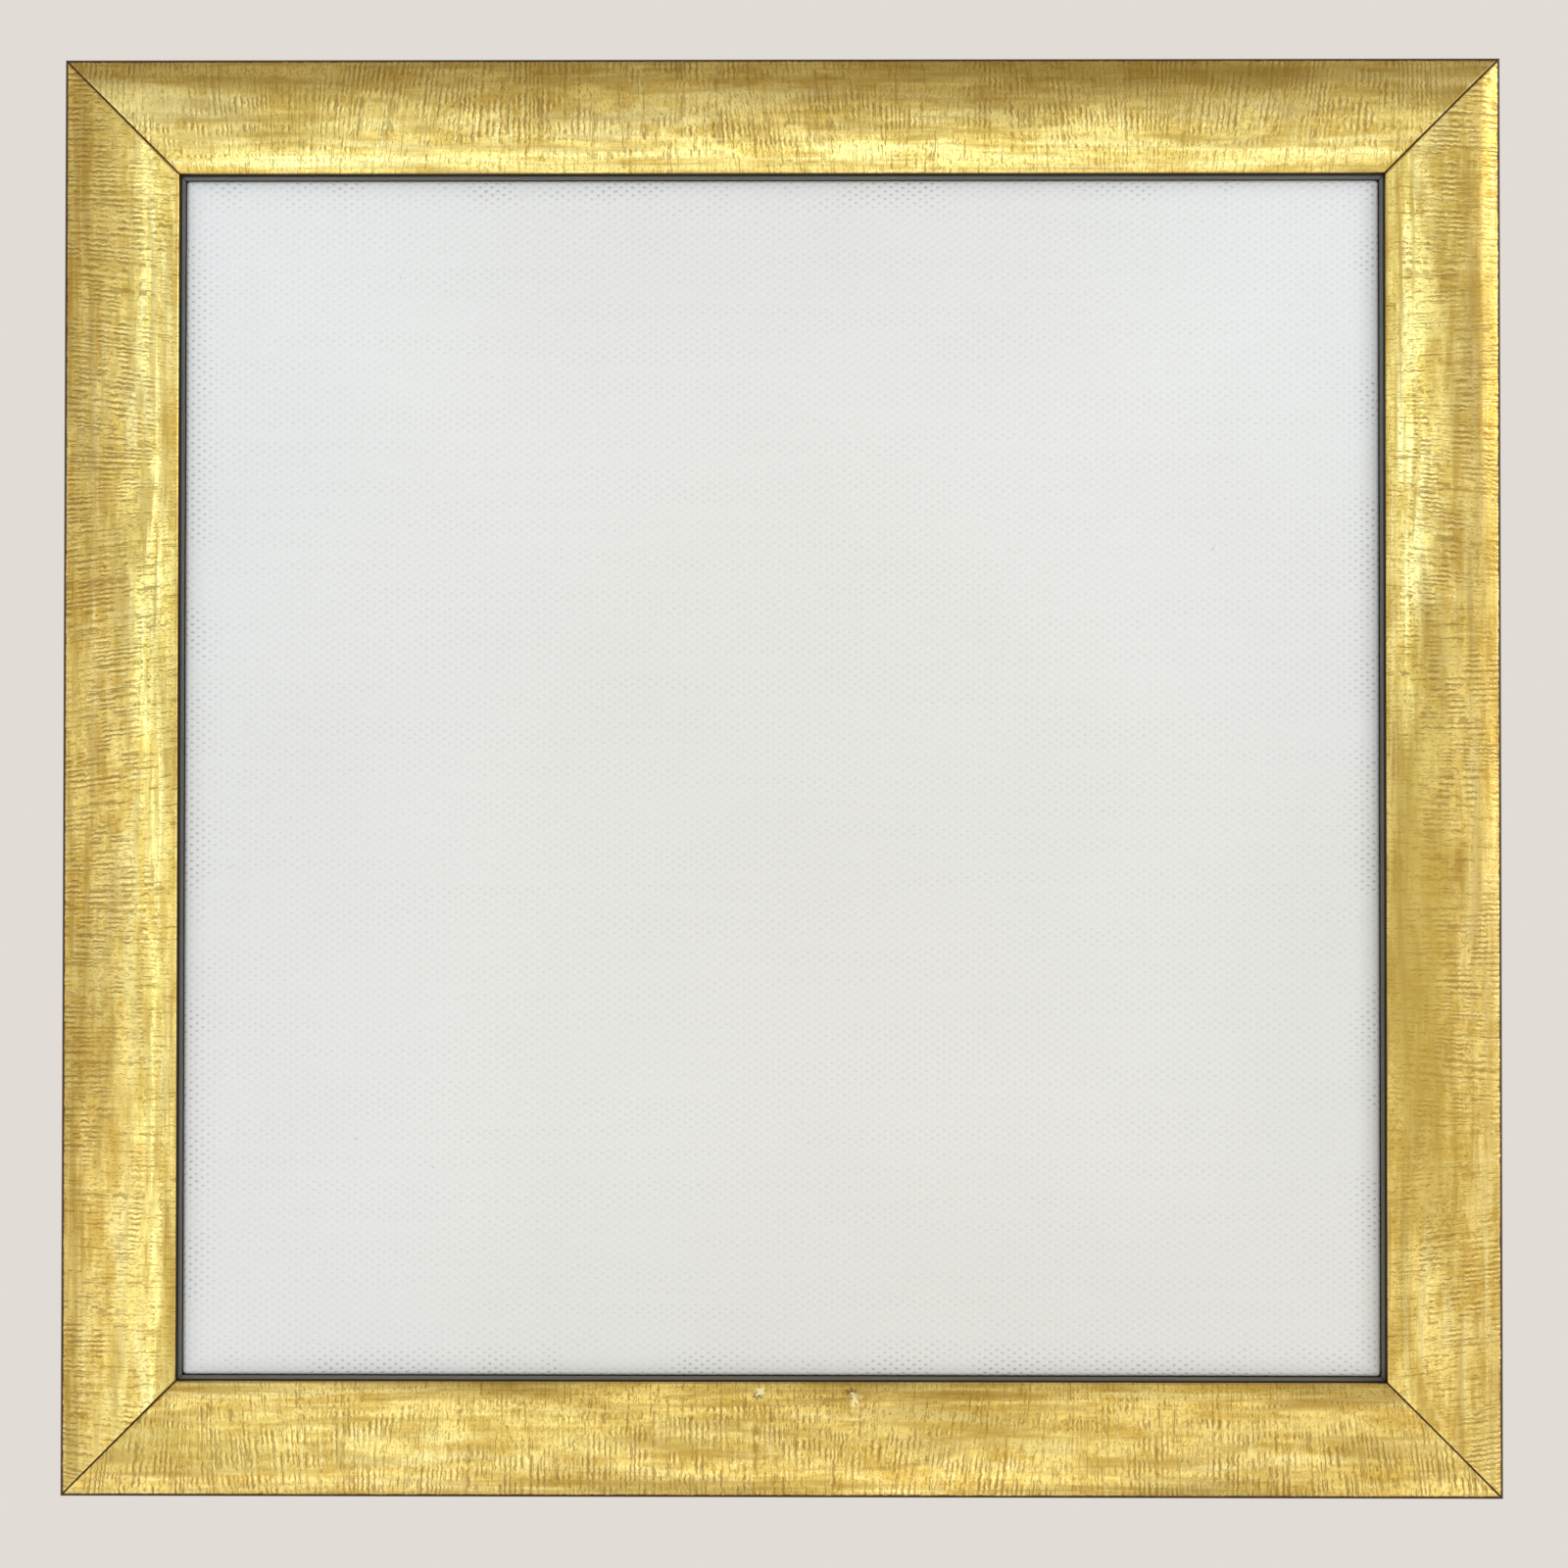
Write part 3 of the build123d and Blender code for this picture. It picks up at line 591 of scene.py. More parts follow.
def face_height(inward):
    """Height of the milled face over its edges, at a distance from the outer edge."""
    half = FACE_WIDTH / 2
    radius = (half ** 2 + CROWN_RISE ** 2) / (2 * CROWN_RISE)
    height = np.sqrt(radius ** 2 - (inward - half) ** 2) - (radius - CROWN_RISE)
    for from_edge, radius in ((inward, EDGE_ROUND), (FACE_WIDTH + WRAP - inward, INNER_EDGE_ROUND)):
        short = np.clip(radius - from_edge, 0, radius)
        height = height - (radius - np.sqrt(radius ** 2 - short ** 2))
    return height


def gilding_stations(length):
    """Places along a rail, from 0 to 1, close together at the mitres."""
    step = 1.0 * MM
    middle = np.linspace(0, 1, int(length / step) + 1)
    near = np.array([0.12, 0.35]) * MM / length
    return np.unique(np.concatenate([middle, near, 1 - near]))


def gilding_rows():
    """Distances from the outer edge, close together at both round edges."""
    edge = np.array([0.06, 0.15, 0.28, 0.5, 0.8, 1.3]) * MM
    inner = FACE_WIDTH + WRAP - np.array([0.0, 0.04, 0.12, 0.25, 0.5, 0.8, 1.3]) * MM
    return np.concatenate([edge, np.linspace(2.0 * MM, FACE_WIDTH - 2.0 * MM, 26), inner[::-1]])


def gilded_face(side, gold, material):
    """The built-up gold on one rail: a thin closed skin, gently uneven as it was scraped by hand."""
    out_x, out_z = OUTWARD[side]
    outward = np.array([out_x, 0.0, out_z])
    running = np.array([abs(out_z), 0.0, abs(out_x)])
    half_run = FRAME_HALF_X if out_z else FRAME_HALF_Z
    half_out = FRAME_HALF_Z if out_z else FRAME_HALF_X
    share = gilding_stations(2 * half_run)
    inward = gilding_rows()
    t, v = np.meshgrid(share, inward, indexing="ij")
    along = (2 * t - 1) * (half_run - v)

    seed = SIDES.index(side)
    broad = soft_hills(along, v, 11 + seed, gold.hill_length, gold.hill_width)
    narrow = soft_hills(along, v, 31 + seed, gold.hill_length * 0.4, gold.hill_width * 0.7)
    inner_share = np.clip(np.minimum(v, FACE_WIDTH - v) / (4.5 * MM), 0, 1)
    scraped = gold.unevenness * (0.75 * broad + 0.25 * narrow) * inner_share
    from_seam = np.minimum(t, 1 - t) * 2 * (half_run - v)
    closing = 0.12 * MM * np.clip(1 - from_seam / (0.3 * MM), 0, 1)
    lift = 0.05 * MM + scraped - closing
    y = EDGE_Y - face_height(v) - lift

    points = along[..., None] * running + (half_out - v)[..., None] * outward
    points[..., 1] = y
    rows, columns = t.shape
    top = points.reshape(-1, 3)
    foot = np.concatenate([points[:, 0], points[:, -1]])
    foot[:, 1] = np.concatenate([y[:, 0], y[:, -1]]) + 0.4 * MM
    vertices = np.concatenate([top, foot])

    def at(i, j):
        return i * columns + j

    def below(i, end):
        return rows * columns + end * rows + i

    faces = []
    for i in range(rows - 1):
        faces += [(at(i, j), at(i + 1, j), at(i + 1, j + 1), at(i, j + 1)) for j in range(columns - 1)]
        faces.append((below(i, 0), below(i + 1, 0), at(i + 1, 0), at(i, 0)))
        faces.append((at(i, columns - 1), at(i + 1, columns - 1), below(i + 1, 1), below(i, 1)))
        faces.append((below(i, 1), below(i + 1, 1), below(i + 1, 0), below(i, 0)))
    faces.append([at(0, j) for j in range(columns)] + [below(0, 1), below(0, 0)])
    last = rows - 1
    faces.append([at(last, j) for j in reversed(range(columns))] + [below(last, 0), below(last, 1)])
    if out_x + out_z > 0 if out_z else out_x < 0:
        faces = [tuple(reversed(face)) for face in faces]
    piece = new_piece(f"gilding_{side}", vertices.tolist(), faces, [material], crease=60.0)
    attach(piece, "frame")
    return piece


def cloth_rings(canvas):
    """The cloth's path out from the front face: (half size short of the canvas's, depth, distance gone)."""
    depth = CLOTH_HIGH.y - CLOTH_LOW.y
    radius = canvas.edge_radius
    fold = FOLD_RADIUS
    rings = []
    for angle in np.radians([0, 18, 36, 54, 72, 90]):
        rings.append((radius * (1 - math.sin(angle)), radius * (1 - math.cos(angle)), radius * angle))
    gone = radius * math.pi / 2
    side = depth - radius - fold
    for part in np.linspace(0, 1, 7)[1:]:
        rings.append((0.0, radius + side * part, gone + side * part))
    gone += side
    for angle in np.radians([30, 60, 90]):
        short, deep = fold * (1 - math.cos(angle)), depth - fold + fold * math.sin(angle)
        rings.append((short, deep, gone + fold * angle))
    gone += fold * math.pi / 2
    flap = canvas.flap - fold
    for part in np.linspace(0, 1, 14)[1:]:
        rings.append((fold + flap * part, depth, gone + flap * part))
    return rings


def cloth_places(half, corner):
    """Places along a side from -1 to 1, close together at the corners."""
    near = 1 - np.array([0.0, 0.2, 0.45, 0.72, 1.0, 1.4, 2.0, 3.0]) * corner / half
    middle = np.linspace(-near[-1], near[-1], 81)
    return np.unique(np.concatenate([middle, near, -near]).round(9))


def round_corners(points, half_x, half_z, radius):
    """Pull the points in the corner squares onto arcs, in X and Z."""
    over_x = np.abs(points[:, 0]) - (half_x - radius)
    over_z = np.abs(points[:, 2]) - (half_z - radius)
    inside = (over_x > 0) & (over_z > 0)
    reach = np.hypot(over_x, over_z) + 1e-12
    square = np.maximum(over_x, over_z)
    points[inside, 0] = np.sign(points[inside, 0]) * (half_x - radius + over_x * square / reach)[inside]
    points[inside, 2] = np.sign(points[inside, 2]) * (half_z - radius + over_z * square / reach)[inside]
    return points


def stretched_cloth(canvas, materials):
    """One sheet of cotton: flat over the front, round the edges, down the sides and onto the bars' backs."""
    half_x, half_z = CLOTH_HIGH.x, CLOTH_HIGH.z
    front_y = CLOTH_LOW.y
    corner = CORNER_RADIUS
    t = cloth_places(half_x, corner)
    count = len(t)
    face_x, face_z = half_x - canvas.edge_radius, half_z - canvas.edge_radius
    grid_x, grid_z = np.meshgrid(t * face_x, t * face_z, indexing="ij")
    ease = np.clip((1 - np.abs(grid_x / face_x)) * (1 - np.abs(grid_z / face_z)) * 9, 0, 1)
    slack = soft_hills(grid_x, grid_z, 5, 0.045, 0.06) * canvas.slack * ease
    front = np.stack([grid_x, front_y + slack, grid_z], -1).reshape(-1, 3)
    flat = [np.stack([grid_x, grid_z], -1).reshape(-1, 2)]
    blocks = [front]

    loop = ([(i, 0) for i in range(count - 1)] + [(count - 1, j) for j in range(count - 1)]
            + [(i, count - 1) for i in range(count - 1, 0, -1)] + [(0, j) for j in range(count - 1, 0, -1)])
    ti = np.array([t[i] for i, _ in loop])
    tj = np.array([t[j] for _, j in loop])
    on_x = np.abs(ti) == 1
    on_z = np.abs(tj) == 1
    previous = [i * count + j for i, j in loop]
    faces = [(i * count + j, (i + 1) * count + j, (i + 1) * count + j + 1, i * count + j + 1)
             for i in range(count - 1) for j in range(count - 1)]
    rng = np.random.default_rng(3)
    start = count * count
    for short, deep, gone in cloth_rings(canvas)[1:]:
        hx, hz = half_x - short, half_z - short
        ring = np.stack([ti * hx, np.full(len(loop), front_y + deep), tj * hz], -1)
        turned = short > 1.0 * MM
        if not turned:
            ring = round_corners(ring, hx, hz, min(corner, hx - face_x + 1e-9))
        if short > FLAP_HELD:
            along = np.where(on_x, ring[:, 2], ring[:, 0])
            free = np.clip((short - FLAP_HELD) / (canvas.flap - FLAP_HELD), 0, 1)
            wave = soft_hills(along, on_x * 0.4 + np.sign(ring[:, 0] + ring[:, 2]) * 0.1, 8, 0.012, 1.0)
            ring[:, 1] += free ** 1.5 * wave * canvas.flap_lift
            over = on_x & ~on_z & (np.abs(tj) > FOLD_STARTS)
            ring[over | (on_x & on_z), 1] += FOLD_THICKNESS * min(1.0, free * 4)
            fray = rng.random(len(loop)) * canvas.fray * free ** 6
            ring[:, 0] -= np.sign(ti) * on_x * fray
            ring[:, 2] -= np.sign(tj) * on_z * fray
        blocks.append(ring)
        spread_x = np.where(on_x, np.sign(ti) * (face_x + gone), ti * face_x)
        spread_z = np.where(on_z, np.sign(tj) * (face_z + gone), tj * face_z)
        flat.append(np.stack([spread_x, spread_z], -1))
        here = list(range(start, start + len(loop)))
        for k in range(len(loop)):
            m = (k + 1) % len(loop)
            faces.append((previous[m], previous[k], here[k], here[m]))
        previous = here
        start += len(loop)

    vertices = np.concatenate(blocks)
    piece = new_piece("canvas_sheet", vertices.tolist(), faces, materials, crease=180.0)
    flat = np.concatenate(flat)
    layer = piece.data.uv_layers.new(name="flat_cloth")
    corners = np.zeros(len(piece.data.loops), int)
    piece.data.loops.foreach_get("vertex_index", corners)
    layer.data.foreach_set("uv", flat[corners].astype(np.float32).ravel())
    thick = piece.modifiers.new("cloth thickness", "SOLIDIFY")
    thick.thickness = canvas.thickness
    thick.offset = -1.0
    thick.use_even_offset = True
    thick.material_offset = 1
    thick.material_offset_rim = 1
    return piece


def frayed_threads(canvas, material):
    """Short loose threads along the raw edge of the flap."""
    rng = np.random.default_rng(17)
    vertices, faces, flat = [], [], []
    inner_x, inner_z = CLOTH_HIGH.x - canvas.flap, CLOTH_HIGH.z - canvas.flap
    base_y = CLOTH_HIGH.y - 0.3 * MM
    for side in SIDES:
        out_x, out_z = OUTWARD[side]
        outward = Vector((out_x, 0, out_z))
        running = Vector((abs(out_z), 0, abs(out_x)))
        half_out, half_run = (inner_z, inner_x) if out_z else (inner_x, inner_z)
        for place in np.arange(-half_run + 2.0 * MM, half_run - 2.0 * MM, canvas.thread_gap):
            along = place + rng.normal(0, 0.4 * MM)
            length = abs(rng.normal(0, 1)) * canvas.thread_length + 0.4 * MM
            lean = rng.normal(0, 0.5)
            lift = rng.random() * 0.25
            spine = []
            for part in (0.0, 0.35, 0.7, 1.0):
                reach = length * part
                out = half_out + 1.2 * MM - reach - 0.6 * MM * part
                point = running * (along + lean * reach * part) + outward * out
                spine.append(point + Vector((0, base_y + lift * reach * (1 - 0.5 * part), 0)))
            first = len(vertices)
            for n, point in enumerate(spine):
                thin = THREAD_RADIUS * (1 - 0.2 * n)
                for spin in range(4):
                    angle = spin * math.pi / 2
                    sideways = running * math.cos(angle) * thin
                    vertices.append(point + sideways + Vector((0, math.sin(angle) * thin, 0)))
                    flat.append((along, n * MM))
            for n in range(len(spine) - 1):
                for spin in range(4):
                    a, b = first + 4 * n + spin, first + 4 * n + (spin + 1) % 4
                    faces.append((a, b, b + 4, a + 4))
            faces.append((first + 3, first + 2, first + 1, first))
            end = first + 4 * (len(spine) - 1)
            faces.append((end, end + 1, end + 2, end + 3))
    piece = new_piece("canvas_frayed_threads", vertices, faces, [material], crease=180.0)
    layer = piece.data.uv_layers.new(name="flat_cloth")
    for corner in piece.data.loops:
        layer.data[corner.index].uv = flat[corner.vertex_index]
    return piece


# ---- settings -------------------------------------------------------------------------------------------
def colour_property(name, description, default):
    return bpy.props.FloatVectorProperty(name=name, description=description, default=default, subtype="COLOR",
                                         size=3, min=0.0, max=1.0)


def length_property(name, description, default):
    return bpy.props.FloatProperty(name=name, description=description, default=default, unit="LENGTH",
                                   precision=5, min=0.0)


def number_property(name, description, default, **limits):
    return bpy.props.FloatProperty(name=name, description=description, default=default, min=0.0, **limits)


class FLOATER_PG_gold(bpy.types.PropertyGroup):
    """Sizes and colours of the gilded faces."""

    comb_pitch: length_property("Comb pitch", "Distance between the comb lines across the face", 1.15 * MM)
    comb_depth: length_property("Comb depth", "How deep the comb lines are", 0.035 * MM)
    unevenness: length_property("Unevenness", "How far the hand-scraped face swells and dips", 0.6 * MM)
    hill_length: length_property("Hill length", "Length of the swells along a rail", 48.0 * MM)
    hill_width: length_property("Hill width", "Width of the swells across a rail", 10.0 * MM)
    sheen_roughness: number_property("Sheen roughness", "Roughness of the bare leaf", 0.22, max=1.0)
    leaf_colour: colour_property("Leaf", "Gold leaf", (0.92, 0.705, 0.205))
    # painted highlight: the paler leaf laid on the comb ridges and in random patches
    bright_colour: colour_property("Bright leaf", "Leaf on the ridges between comb lines", (1.0, 0.87, 0.37))
    deep_colour: colour_property("Deep leaf", "Leaf under more glaze", (0.70, 0.48, 0.105))
    # shaded leaf: also the painted shade of the placed washes
    shade_colour: colour_property("Shaded leaf", "Leaf under a broad wash of glaze", (0.46, 0.31, 0.058))
    glaze_colour: colour_property("Glaze", "Brown glaze left in the comb lines", (0.265, 0.142, 0.024))
    clay_colour: colour_property("Clay", "Clay and stain where the gold has rubbed through",
                                 (0.075, 0.030, 0.010))


class FLOATER_PG_wood(bpy.types.PropertyGroup):
    """Colours of the rails, bars and keys."""

    umber_colour: colour_property("Umber stain", "Stain on the walls of the rails", (0.034, 0.022, 0.010))
    charcoal_colour: colour_property("Charcoal stain", "Stain on the shoulder and the ledge",
                                     (0.28, 0.26, 0.21))
    rail_wood_colour: colour_property("Rail wood", "Bare wood behind the rails", (0.56, 0.40, 0.24))
    pine_colour: colour_property("Pine", "Early wood of the bars", (0.74, 0.55, 0.33))
    pine_dark_colour: colour_property("Pine rings", "Late wood of the bars", (0.52, 0.31, 0.14))
    beech_colour: colour_property("Beech", "Wood of the keys", (0.60, 0.38, 0.22))
    beech_dark_colour: colour_property("Beech rings", "Darker rings of the keys", (0.42, 0.24, 0.12))


class FLOATER_PG_canvas(bpy.types.PropertyGroup):
    """Sizes and colours of the canvas."""

    thickness: length_property("Thickness", "Cotton with its priming", 0.55 * MM)
    edge_radius: length_property("Edge radius", "Where the cloth turns down the sides", 0.8 * MM)
    flap: length_property("Flap", "Cloth turned over onto the back of the bars", 26.0 * MM)
    slack: length_property("Slack", "How far the stretched face may dip", 0.25 * MM)
    flap_lift: length_property("Flap lift", "How far the raw edge stands off the bars", 0.6 * MM)
    fray: length_property("Fray", "How uneven the raw edge is", 0.5 * MM)
    thread_gap: length_property("Thread gap", "Distance between loose threads at the raw edge", 1.6 * MM)
    thread_length: length_property("Thread length", "Usual length of a loose thread", 1.1 * MM)
    warp_pitch: length_property("Warp pitch", "Distance between the upright threads", 1.25 * MM)
    weft_pitch: length_property("Weft pitch", "Distance between the level threads", 0.84 * MM)
    weave_depth: length_property("Weave depth", "Height of the weave under the priming", 0.06 * MM)
    priming_colour: colour_property("Priming", "White ground on the front", (0.835, 0.855, 0.85))
    cotton_colour: colour_property("Cotton", "Unprimed cotton behind", (0.60, 0.53, 0.40))


class FLOATER_PG_fittings(bpy.types.PropertyGroup):
    """Colours of the metal and rubber fittings."""

    zinc_colour: colour_property("Zinc", "Plating of the screws", (0.72, 0.71, 0.66))
    wire_colour: colour_property("Staple wire", "Galvanised wire", (0.66, 0.67, 0.68))
    nickel_colour: colour_property("Nickel", "Plating of the straps and rings", (0.74, 0.70, 0.63))
    spring_steel_colour: colour_property("Spring steel", "Blued steel of the V-nails", (0.16, 0.18, 0.22))
    rubber_colour: colour_property("Rubber", "Wall bumpers", (0.05, 0.05, 0.052))


class FLOATER_PG_stage(bpy.types.PropertyGroup):
    """Camera, lights and floor."""

    camera_place: bpy.props.FloatVectorProperty(
        name="Camera place", description="Where the camera stands", default=(0.012, -1.0107, -0.0217),
        subtype="TRANSLATION", unit="LENGTH")
    camera_turn: bpy.props.FloatVectorProperty(
        name="Camera turn", description="How the camera is turned",
        default=tuple(math.radians(a) for a in (91.177, -0.039, 0.666)), subtype="EULER", unit="ROTATION")
    lens: bpy.props.FloatProperty(name="Lens", description="Focal length in millimetres", default=105.6,
                                  min=1.0)
    floor_drop: length_property("Floor drop", "How far the floor is below the middle of the frame", 0.80)
    floor_radius: length_property("Floor radius", "Where the floor has faded out", 1.2)
    backdrop_colour: colour_property("Backdrop", "Plain pale surround", (0.753, 0.716, 0.672))
    key_power: number_property("Key light", "Power of the upper right light in watts", 23.0)
    panel_power: number_property("Panel lights", "Power of a panel light in watts", 0.021, precision=4)
    back_power: number_property("Back light", "Power of the light behind in watts", 4.0)
    surround_light: number_property("Surround light", "Strength of the surround's light", 1.12)


SETTINGS = (
    ("floater_gold", FLOATER_PG_gold, "Gilding"),
    ("floater_wood", FLOATER_PG_wood, "Wood"),
    ("floater_canvas", FLOATER_PG_canvas, "Canvas"),
    ("floater_fittings", FLOATER_PG_fittings, "Fittings"),
    ("floater_stage", FLOATER_PG_stage, "Stage"),
)


def finish_node(name, material, soften=0.0):
    """Give a model node its finish and, where it helps, slightly softened edges."""
    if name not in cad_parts:
        raise RuntimeError(f"the model has no piece named {name}")
    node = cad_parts[name]
    node.data.materials[0] = material
    if soften:
        weld = node.modifiers.new("joined edges", "WELD")
        weld.merge_threshold = 0.001 * MM
        bevel = node.modifiers.new("softened edges", "BEVEL")
        bevel.width = soften
        bevel.segments = 2
        bevel.limit_method = "ANGLE"
        bevel.angle_limit = math.radians(35)
        bevel.harden_normals = False
    return node


# ---- operators ------------------------------------------------------------------------------------------
class FLOATER_OT_stage(bpy.types.Operator):
    """Set up the pale surround, the soft lights, the floor and the camera"""

    bl_idname = "floater.stage"
    bl_label = "Stage"

    def execute(self, context):
        stage = context.scene.floater_stage
        context.scene.view_settings.view_transform = "Standard"
        self.surround(context, stage)
        self.floor(context, stage)
        self.lights(context, stage)
        camera = bpy.data.objects.new("camera", bpy.data.cameras.new("camera"))
        context.scene.collection.objects.link(camera)
        camera.location = stage.camera_place
        camera.rotation_euler = stage.camera_turn
        camera.data.lens = stage.lens
        camera.data.clip_start = 0.05
        context.scene.camera = camera
        return {"FINISHED"}

    def surround(self, context, stage):
        """Plain to look at, while its light is dimmer and warmer from above and from both sides."""
        world = bpy.data.worlds.new("studio")
        world.use_nodes = True
        context.scene.world = world
        w = Wiring(world.node_tree)
        toward = w.add("ShaderNodeTexCoord").outputs["Generated"]
        x, _, z = w.split(toward)
        glow = w.times(w.remap(x, -0.8, -0.1, 0.88, 1.0), w.remap(z, -0.04, 0.46, 1.0, 0.42))
        glow = w.times(glow, w.remap(x, 0.1, 0.6, 1.0, 0.78))
        warmer = w.join(glow, w.math("POWER", glow, 1.12), w.math("POWER", glow, 1.35))
        level = stage.surround_light
        light = w.vector("MULTIPLY", warmer, (level, level, level))
        seen = w.add("ShaderNodeLightPath").outputs["Is Camera Ray"]
        colour = w.mix(seen, light, tint(stage.backdrop_colour))
        background = world.node_tree.nodes["Background"]
        w.fill(background.inputs["Color"], colour)
        background.inputs["Strength"].default_value = 1.0

    def floor(self, context, stage):
        """A pale disc below the frame that fades out towards its rim."""
        rings, spokes = 12, 72
        vertices = [(0.0, 0.0, -stage.floor_drop)]
        for ring in range(1, rings + 1):
            radius = stage.floor_radius * ring / rings
            for spoke in range(spokes):
                angle = 2 * math.pi * spoke / spokes
                vertices.append((radius * math.cos(angle), radius * math.sin(angle), -stage.floor_drop))
        faces = [(0, 1 + s, 1 + (s + 1) % spokes) for s in range(spokes)]
        for ring in range(rings - 1):
            base = 1 + ring * spokes
            faces += [(base + s, base + spokes + s, base + spokes + (s + 1) % spokes, base + (s + 1) % spokes)
                      for s in range(spokes)]
        material, w, shader = new_material("pale_floor", Specular_IOR_Level=0.1, Roughness=0.9)
        place = w.add("ShaderNodeTexCoord").outputs["Object"]
        x, y, _ = w.split(place)
        reach = w.math("SQRT", w.plus(w.times(x, x), w.times(y, y)))
        mottle = w.noise(place, scale=9.0, detail=3.0)
        pale = stage.backdrop_colour
        w.fill(shader["Base Color"], w.mix(mottle, tint(pale, 0.98), tint(pale, 1.02)))
        fade = (stage.floor_radius * 0.45, stage.floor_radius * 0.97)
        w.fill(shader["Alpha"], w.remap(reach, *fade, 1.0, 0.0))
        new_piece("floor", vertices, faces, [material])

    def lights(self, context, stage):
        """A panel close to each rail, which alone mirrors it, a large light, a low one and one behind."""
        for name, place, aim, size, share, colour, spread in PANELS:
            self.soft_light(context, name, place, aim, size, share * stage.panel_power, colour, spread)
        self.soft_light(context, "key", (2.2, -1.4, 0.7), (0.0, 0.0, 0.0), (1.2, 1.2), stage.key_power)
        self.soft_light(context, "low", (-0.15, -1.0, -0.76), (0.0, 0.0, -0.1), (1.4, 0.3), LOW_LIGHT_POWER)
        self.soft_light(context, "behind", (-0.8, 0.9, 0.8), (0.0, 0.0, 0.0), (0.8, 0.8), stage.back_power)

    def soft_light(self, context, name, place, toward, size, watts, colour=WHITE, spread=180.0):
        light = bpy.data.lights.new(name, "AREA")
        light.shape = "RECTANGLE"
        light.size, light.size_y = size
        light.energy = watts
        light.color = colour
        light.spread = math.radians(spread)
        lamp = bpy.data.objects.new(name, light)
        lamp.location = place
        lamp.rotation_euler = (Vector(toward) - Vector(place)).to_track_quat("-Z", "Y").to_euler()
        lamp.visible_camera = False
        context.scene.collection.objects.link(lamp)


class FLOATER_OT_rails(bpy.types.Operator):
    """Stain the four rails"""

    bl_idname = "floater.rails"
    bl_label = "Rails"

    def execute(self, context):
        material = stained_rail(context.scene.floater_wood)
        for side in SIDES:
            finish_node(f"rail_{side}", material)
        return {"FINISHED"}


class FLOATER_OT_gilding(bpy.types.Operator):
    """Lay the gold on the faces of the four rails"""

    bl_idname = "floater.gilding"
    bl_label = "Gilding"

    def execute(self, context):
        gold = context.scene.floater_gold
        material = gold_leaf(gold)
        for side in SIDES:
            gilded_face(side, gold, material)
        return {"FINISHED"}


class FLOATER_OT_canvas(bpy.types.Operator):
    """Stretch the primed cotton over its bars"""

    bl_idname = "floater.canvas"
    bl_label = "Canvas"

    def execute(self, context):
        canvas = context.scene.floater_canvas
        front, back = primed_cotton(canvas), raw_cotton(canvas)
        sheet = stretched_cloth(canvas, [front, back])
        threads = frayed_threads(canvas, back)
        for piece in (sheet, threads):
            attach(piece, "frame")
        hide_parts("canvas_cloth")
        return {"FINISHED"}


class FLOATER_OT_stretcher(bpy.types.Operator):
    """Give the stretcher bars their pine grain"""

    bl_idname = "floater.stretcher"
    bl_label = "Stretcher bars"

    def execute(self, context):
        wood = context.scene.floater_wood
        pale, dark = wood.pine_colour, wood.pine_dark_colour
        level = timber("pine_level", pale, dark, 3.4, upright=False)
        upright = timber("pine_upright", pale, dark, 3.1, upright=True)
        for side in SIDES:
            finish_node(f"stretcher_{side}", level if side in ("top", "bottom") else upright)
        return {"FINISHED"}


class FLOATER_OT_keys(bpy.types.Operator):
    """Give the corner keys their beech grain"""

    bl_idname = "floater.keys"
    bl_label = "Corner keys"

    def execute(self, context):
        wood = context.scene.floater_wood
        pale, dark = wood.beech_colour, wood.beech_dark_colour
        level = timber("beech_level", pale, dark, 1.7, upright=False, flecked=True)
        upright = timber("beech_upright", pale, dark, 1.7, upright=True, flecked=True)
        for side in SIDES:
            lying = side in ("top", "bottom")
            for end in ("left", "right") if lying else ("top", "bottom"):
                finish_node(f"key_{side}_{end}", upright if lying else level, soften=0.25 * MM)
        return {"FINISHED"}


class FLOATER_OT_fasteners(bpy.types.Operator):
    """Finish the staples, screws and V-nails"""

    bl_idname = "floater.fasteners"
    bl_label = "Fasteners"

    def execute(self, context):
        fittings = context.scene.floater_fittings
        zinc = plated_metal("zinc_plate", fittings.zinc_colour, (0.42, 0.41, 0.38), 0.28)
        wire = plated_metal("staple_wire", fittings.wire_colour, (0.40, 0.40, 0.40), 0.35)
        spring = plated_metal("spring_steel", fittings.spring_steel_colour, (0.10, 0.07, 0.05), 0.4)
        finish_node("canvas_screws", zinc)
        finish_node("hanger_screws", zinc)
        finish_node("canvas_staples", wire, soften=0.15 * MM)
        finish_node("corner_v_nails", spring, soften=0.1 * MM)
        return {"FINISHED"}


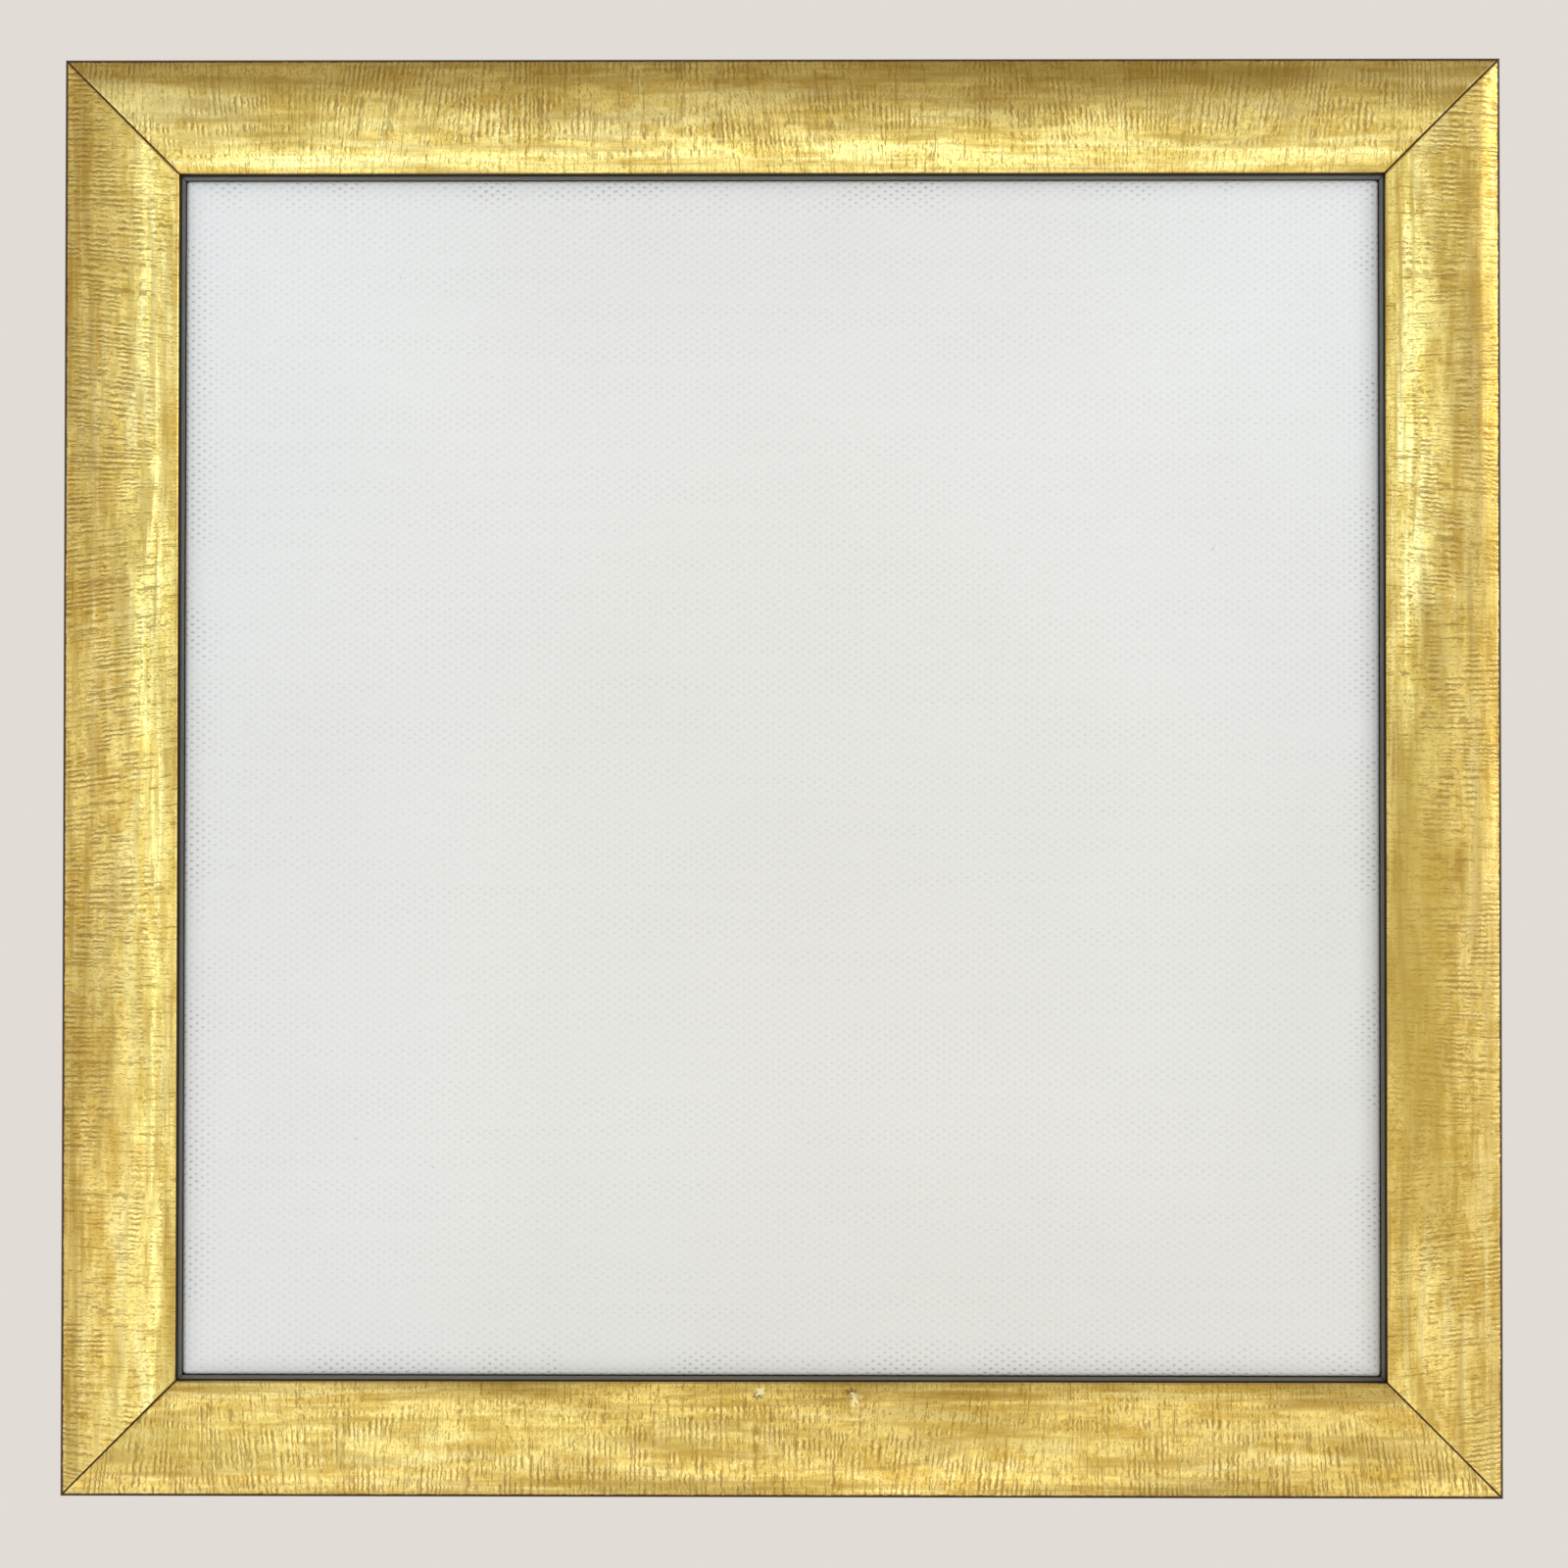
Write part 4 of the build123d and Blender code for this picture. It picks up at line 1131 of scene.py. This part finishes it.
class FLOATER_OT_hangers(bpy.types.Operator):
    """Finish the hanger straps and their rings"""

    bl_idname = "floater.hangers"
    bl_label = "Hangers"

    def execute(self, context):
        colour = context.scene.floater_fittings.nickel_colour
        strap = plated_metal("nickel_strap", colour, (0.46, 0.42, 0.36), 0.3)
        ring = plated_metal("nickel_ring", colour, (0.50, 0.46, 0.40), 0.18)
        for side in ("left", "right"):
            finish_node(f"hanger_strap_{side}", strap)
            finish_node(f"hanger_ring_{side}", ring)
        return {"FINISHED"}


class FLOATER_OT_bumpers(bpy.types.Operator):
    """Finish the wall bumpers"""

    bl_idname = "floater.bumpers"
    bl_label = "Wall bumpers"

    def execute(self, context):
        rubber = soft_rubber("bumper_rubber", context.scene.floater_fittings.rubber_colour)
        for side in ("left", "right"):
            finish_node(f"wall_bumper_{side}", rubber)
        return {"FINISHED"}


OPERATORS = (
    FLOATER_OT_rails,
    FLOATER_OT_gilding,
    FLOATER_OT_stretcher,
    FLOATER_OT_keys,
    FLOATER_OT_canvas,
    FLOATER_OT_fasteners,
    FLOATER_OT_hangers,
    FLOATER_OT_bumpers,
    FLOATER_OT_stage,
)


class FLOATER_PT_panel(bpy.types.Panel):
    """Lists the steps and their settings"""

    bl_idname = "FLOATER_PT_panel"
    bl_label = "Floating frame"
    bl_space_type = "VIEW_3D"
    bl_region_type = "UI"
    bl_category = "Floating frame"

    def draw(self, context):
        layout = self.layout
        for operator in OPERATORS:
            layout.operator(operator.bl_idname)
        for attribute, group, title in SETTINGS:
            box = layout.box()
            box.label(text=title)
            for name in group.__annotations__:
                box.prop(getattr(context.scene, attribute), name)


def register():
    for attribute, group, _ in SETTINGS:
        bpy.utils.register_class(group)
        setattr(bpy.types.Scene, attribute, bpy.props.PointerProperty(type=group))
    for cls in (*OPERATORS, FLOATER_PT_panel):
        bpy.utils.register_class(cls)


def unregister():
    for cls in reversed((*OPERATORS, FLOATER_PT_panel)):
        bpy.utils.unregister_class(cls)
    for attribute, group, _ in reversed(SETTINGS):
        delattr(bpy.types.Scene, attribute)
        bpy.utils.unregister_class(group)


def main():
    """Run every step in order."""
    register()
    bpy.ops.floater.rails()
    bpy.ops.floater.gilding()
    bpy.ops.floater.stretcher()
    bpy.ops.floater.keys()
    bpy.ops.floater.canvas()
    bpy.ops.floater.fasteners()
    bpy.ops.floater.hangers()
    bpy.ops.floater.bumpers()
    bpy.ops.floater.stage()


if __name__ == "__main__":
    main()
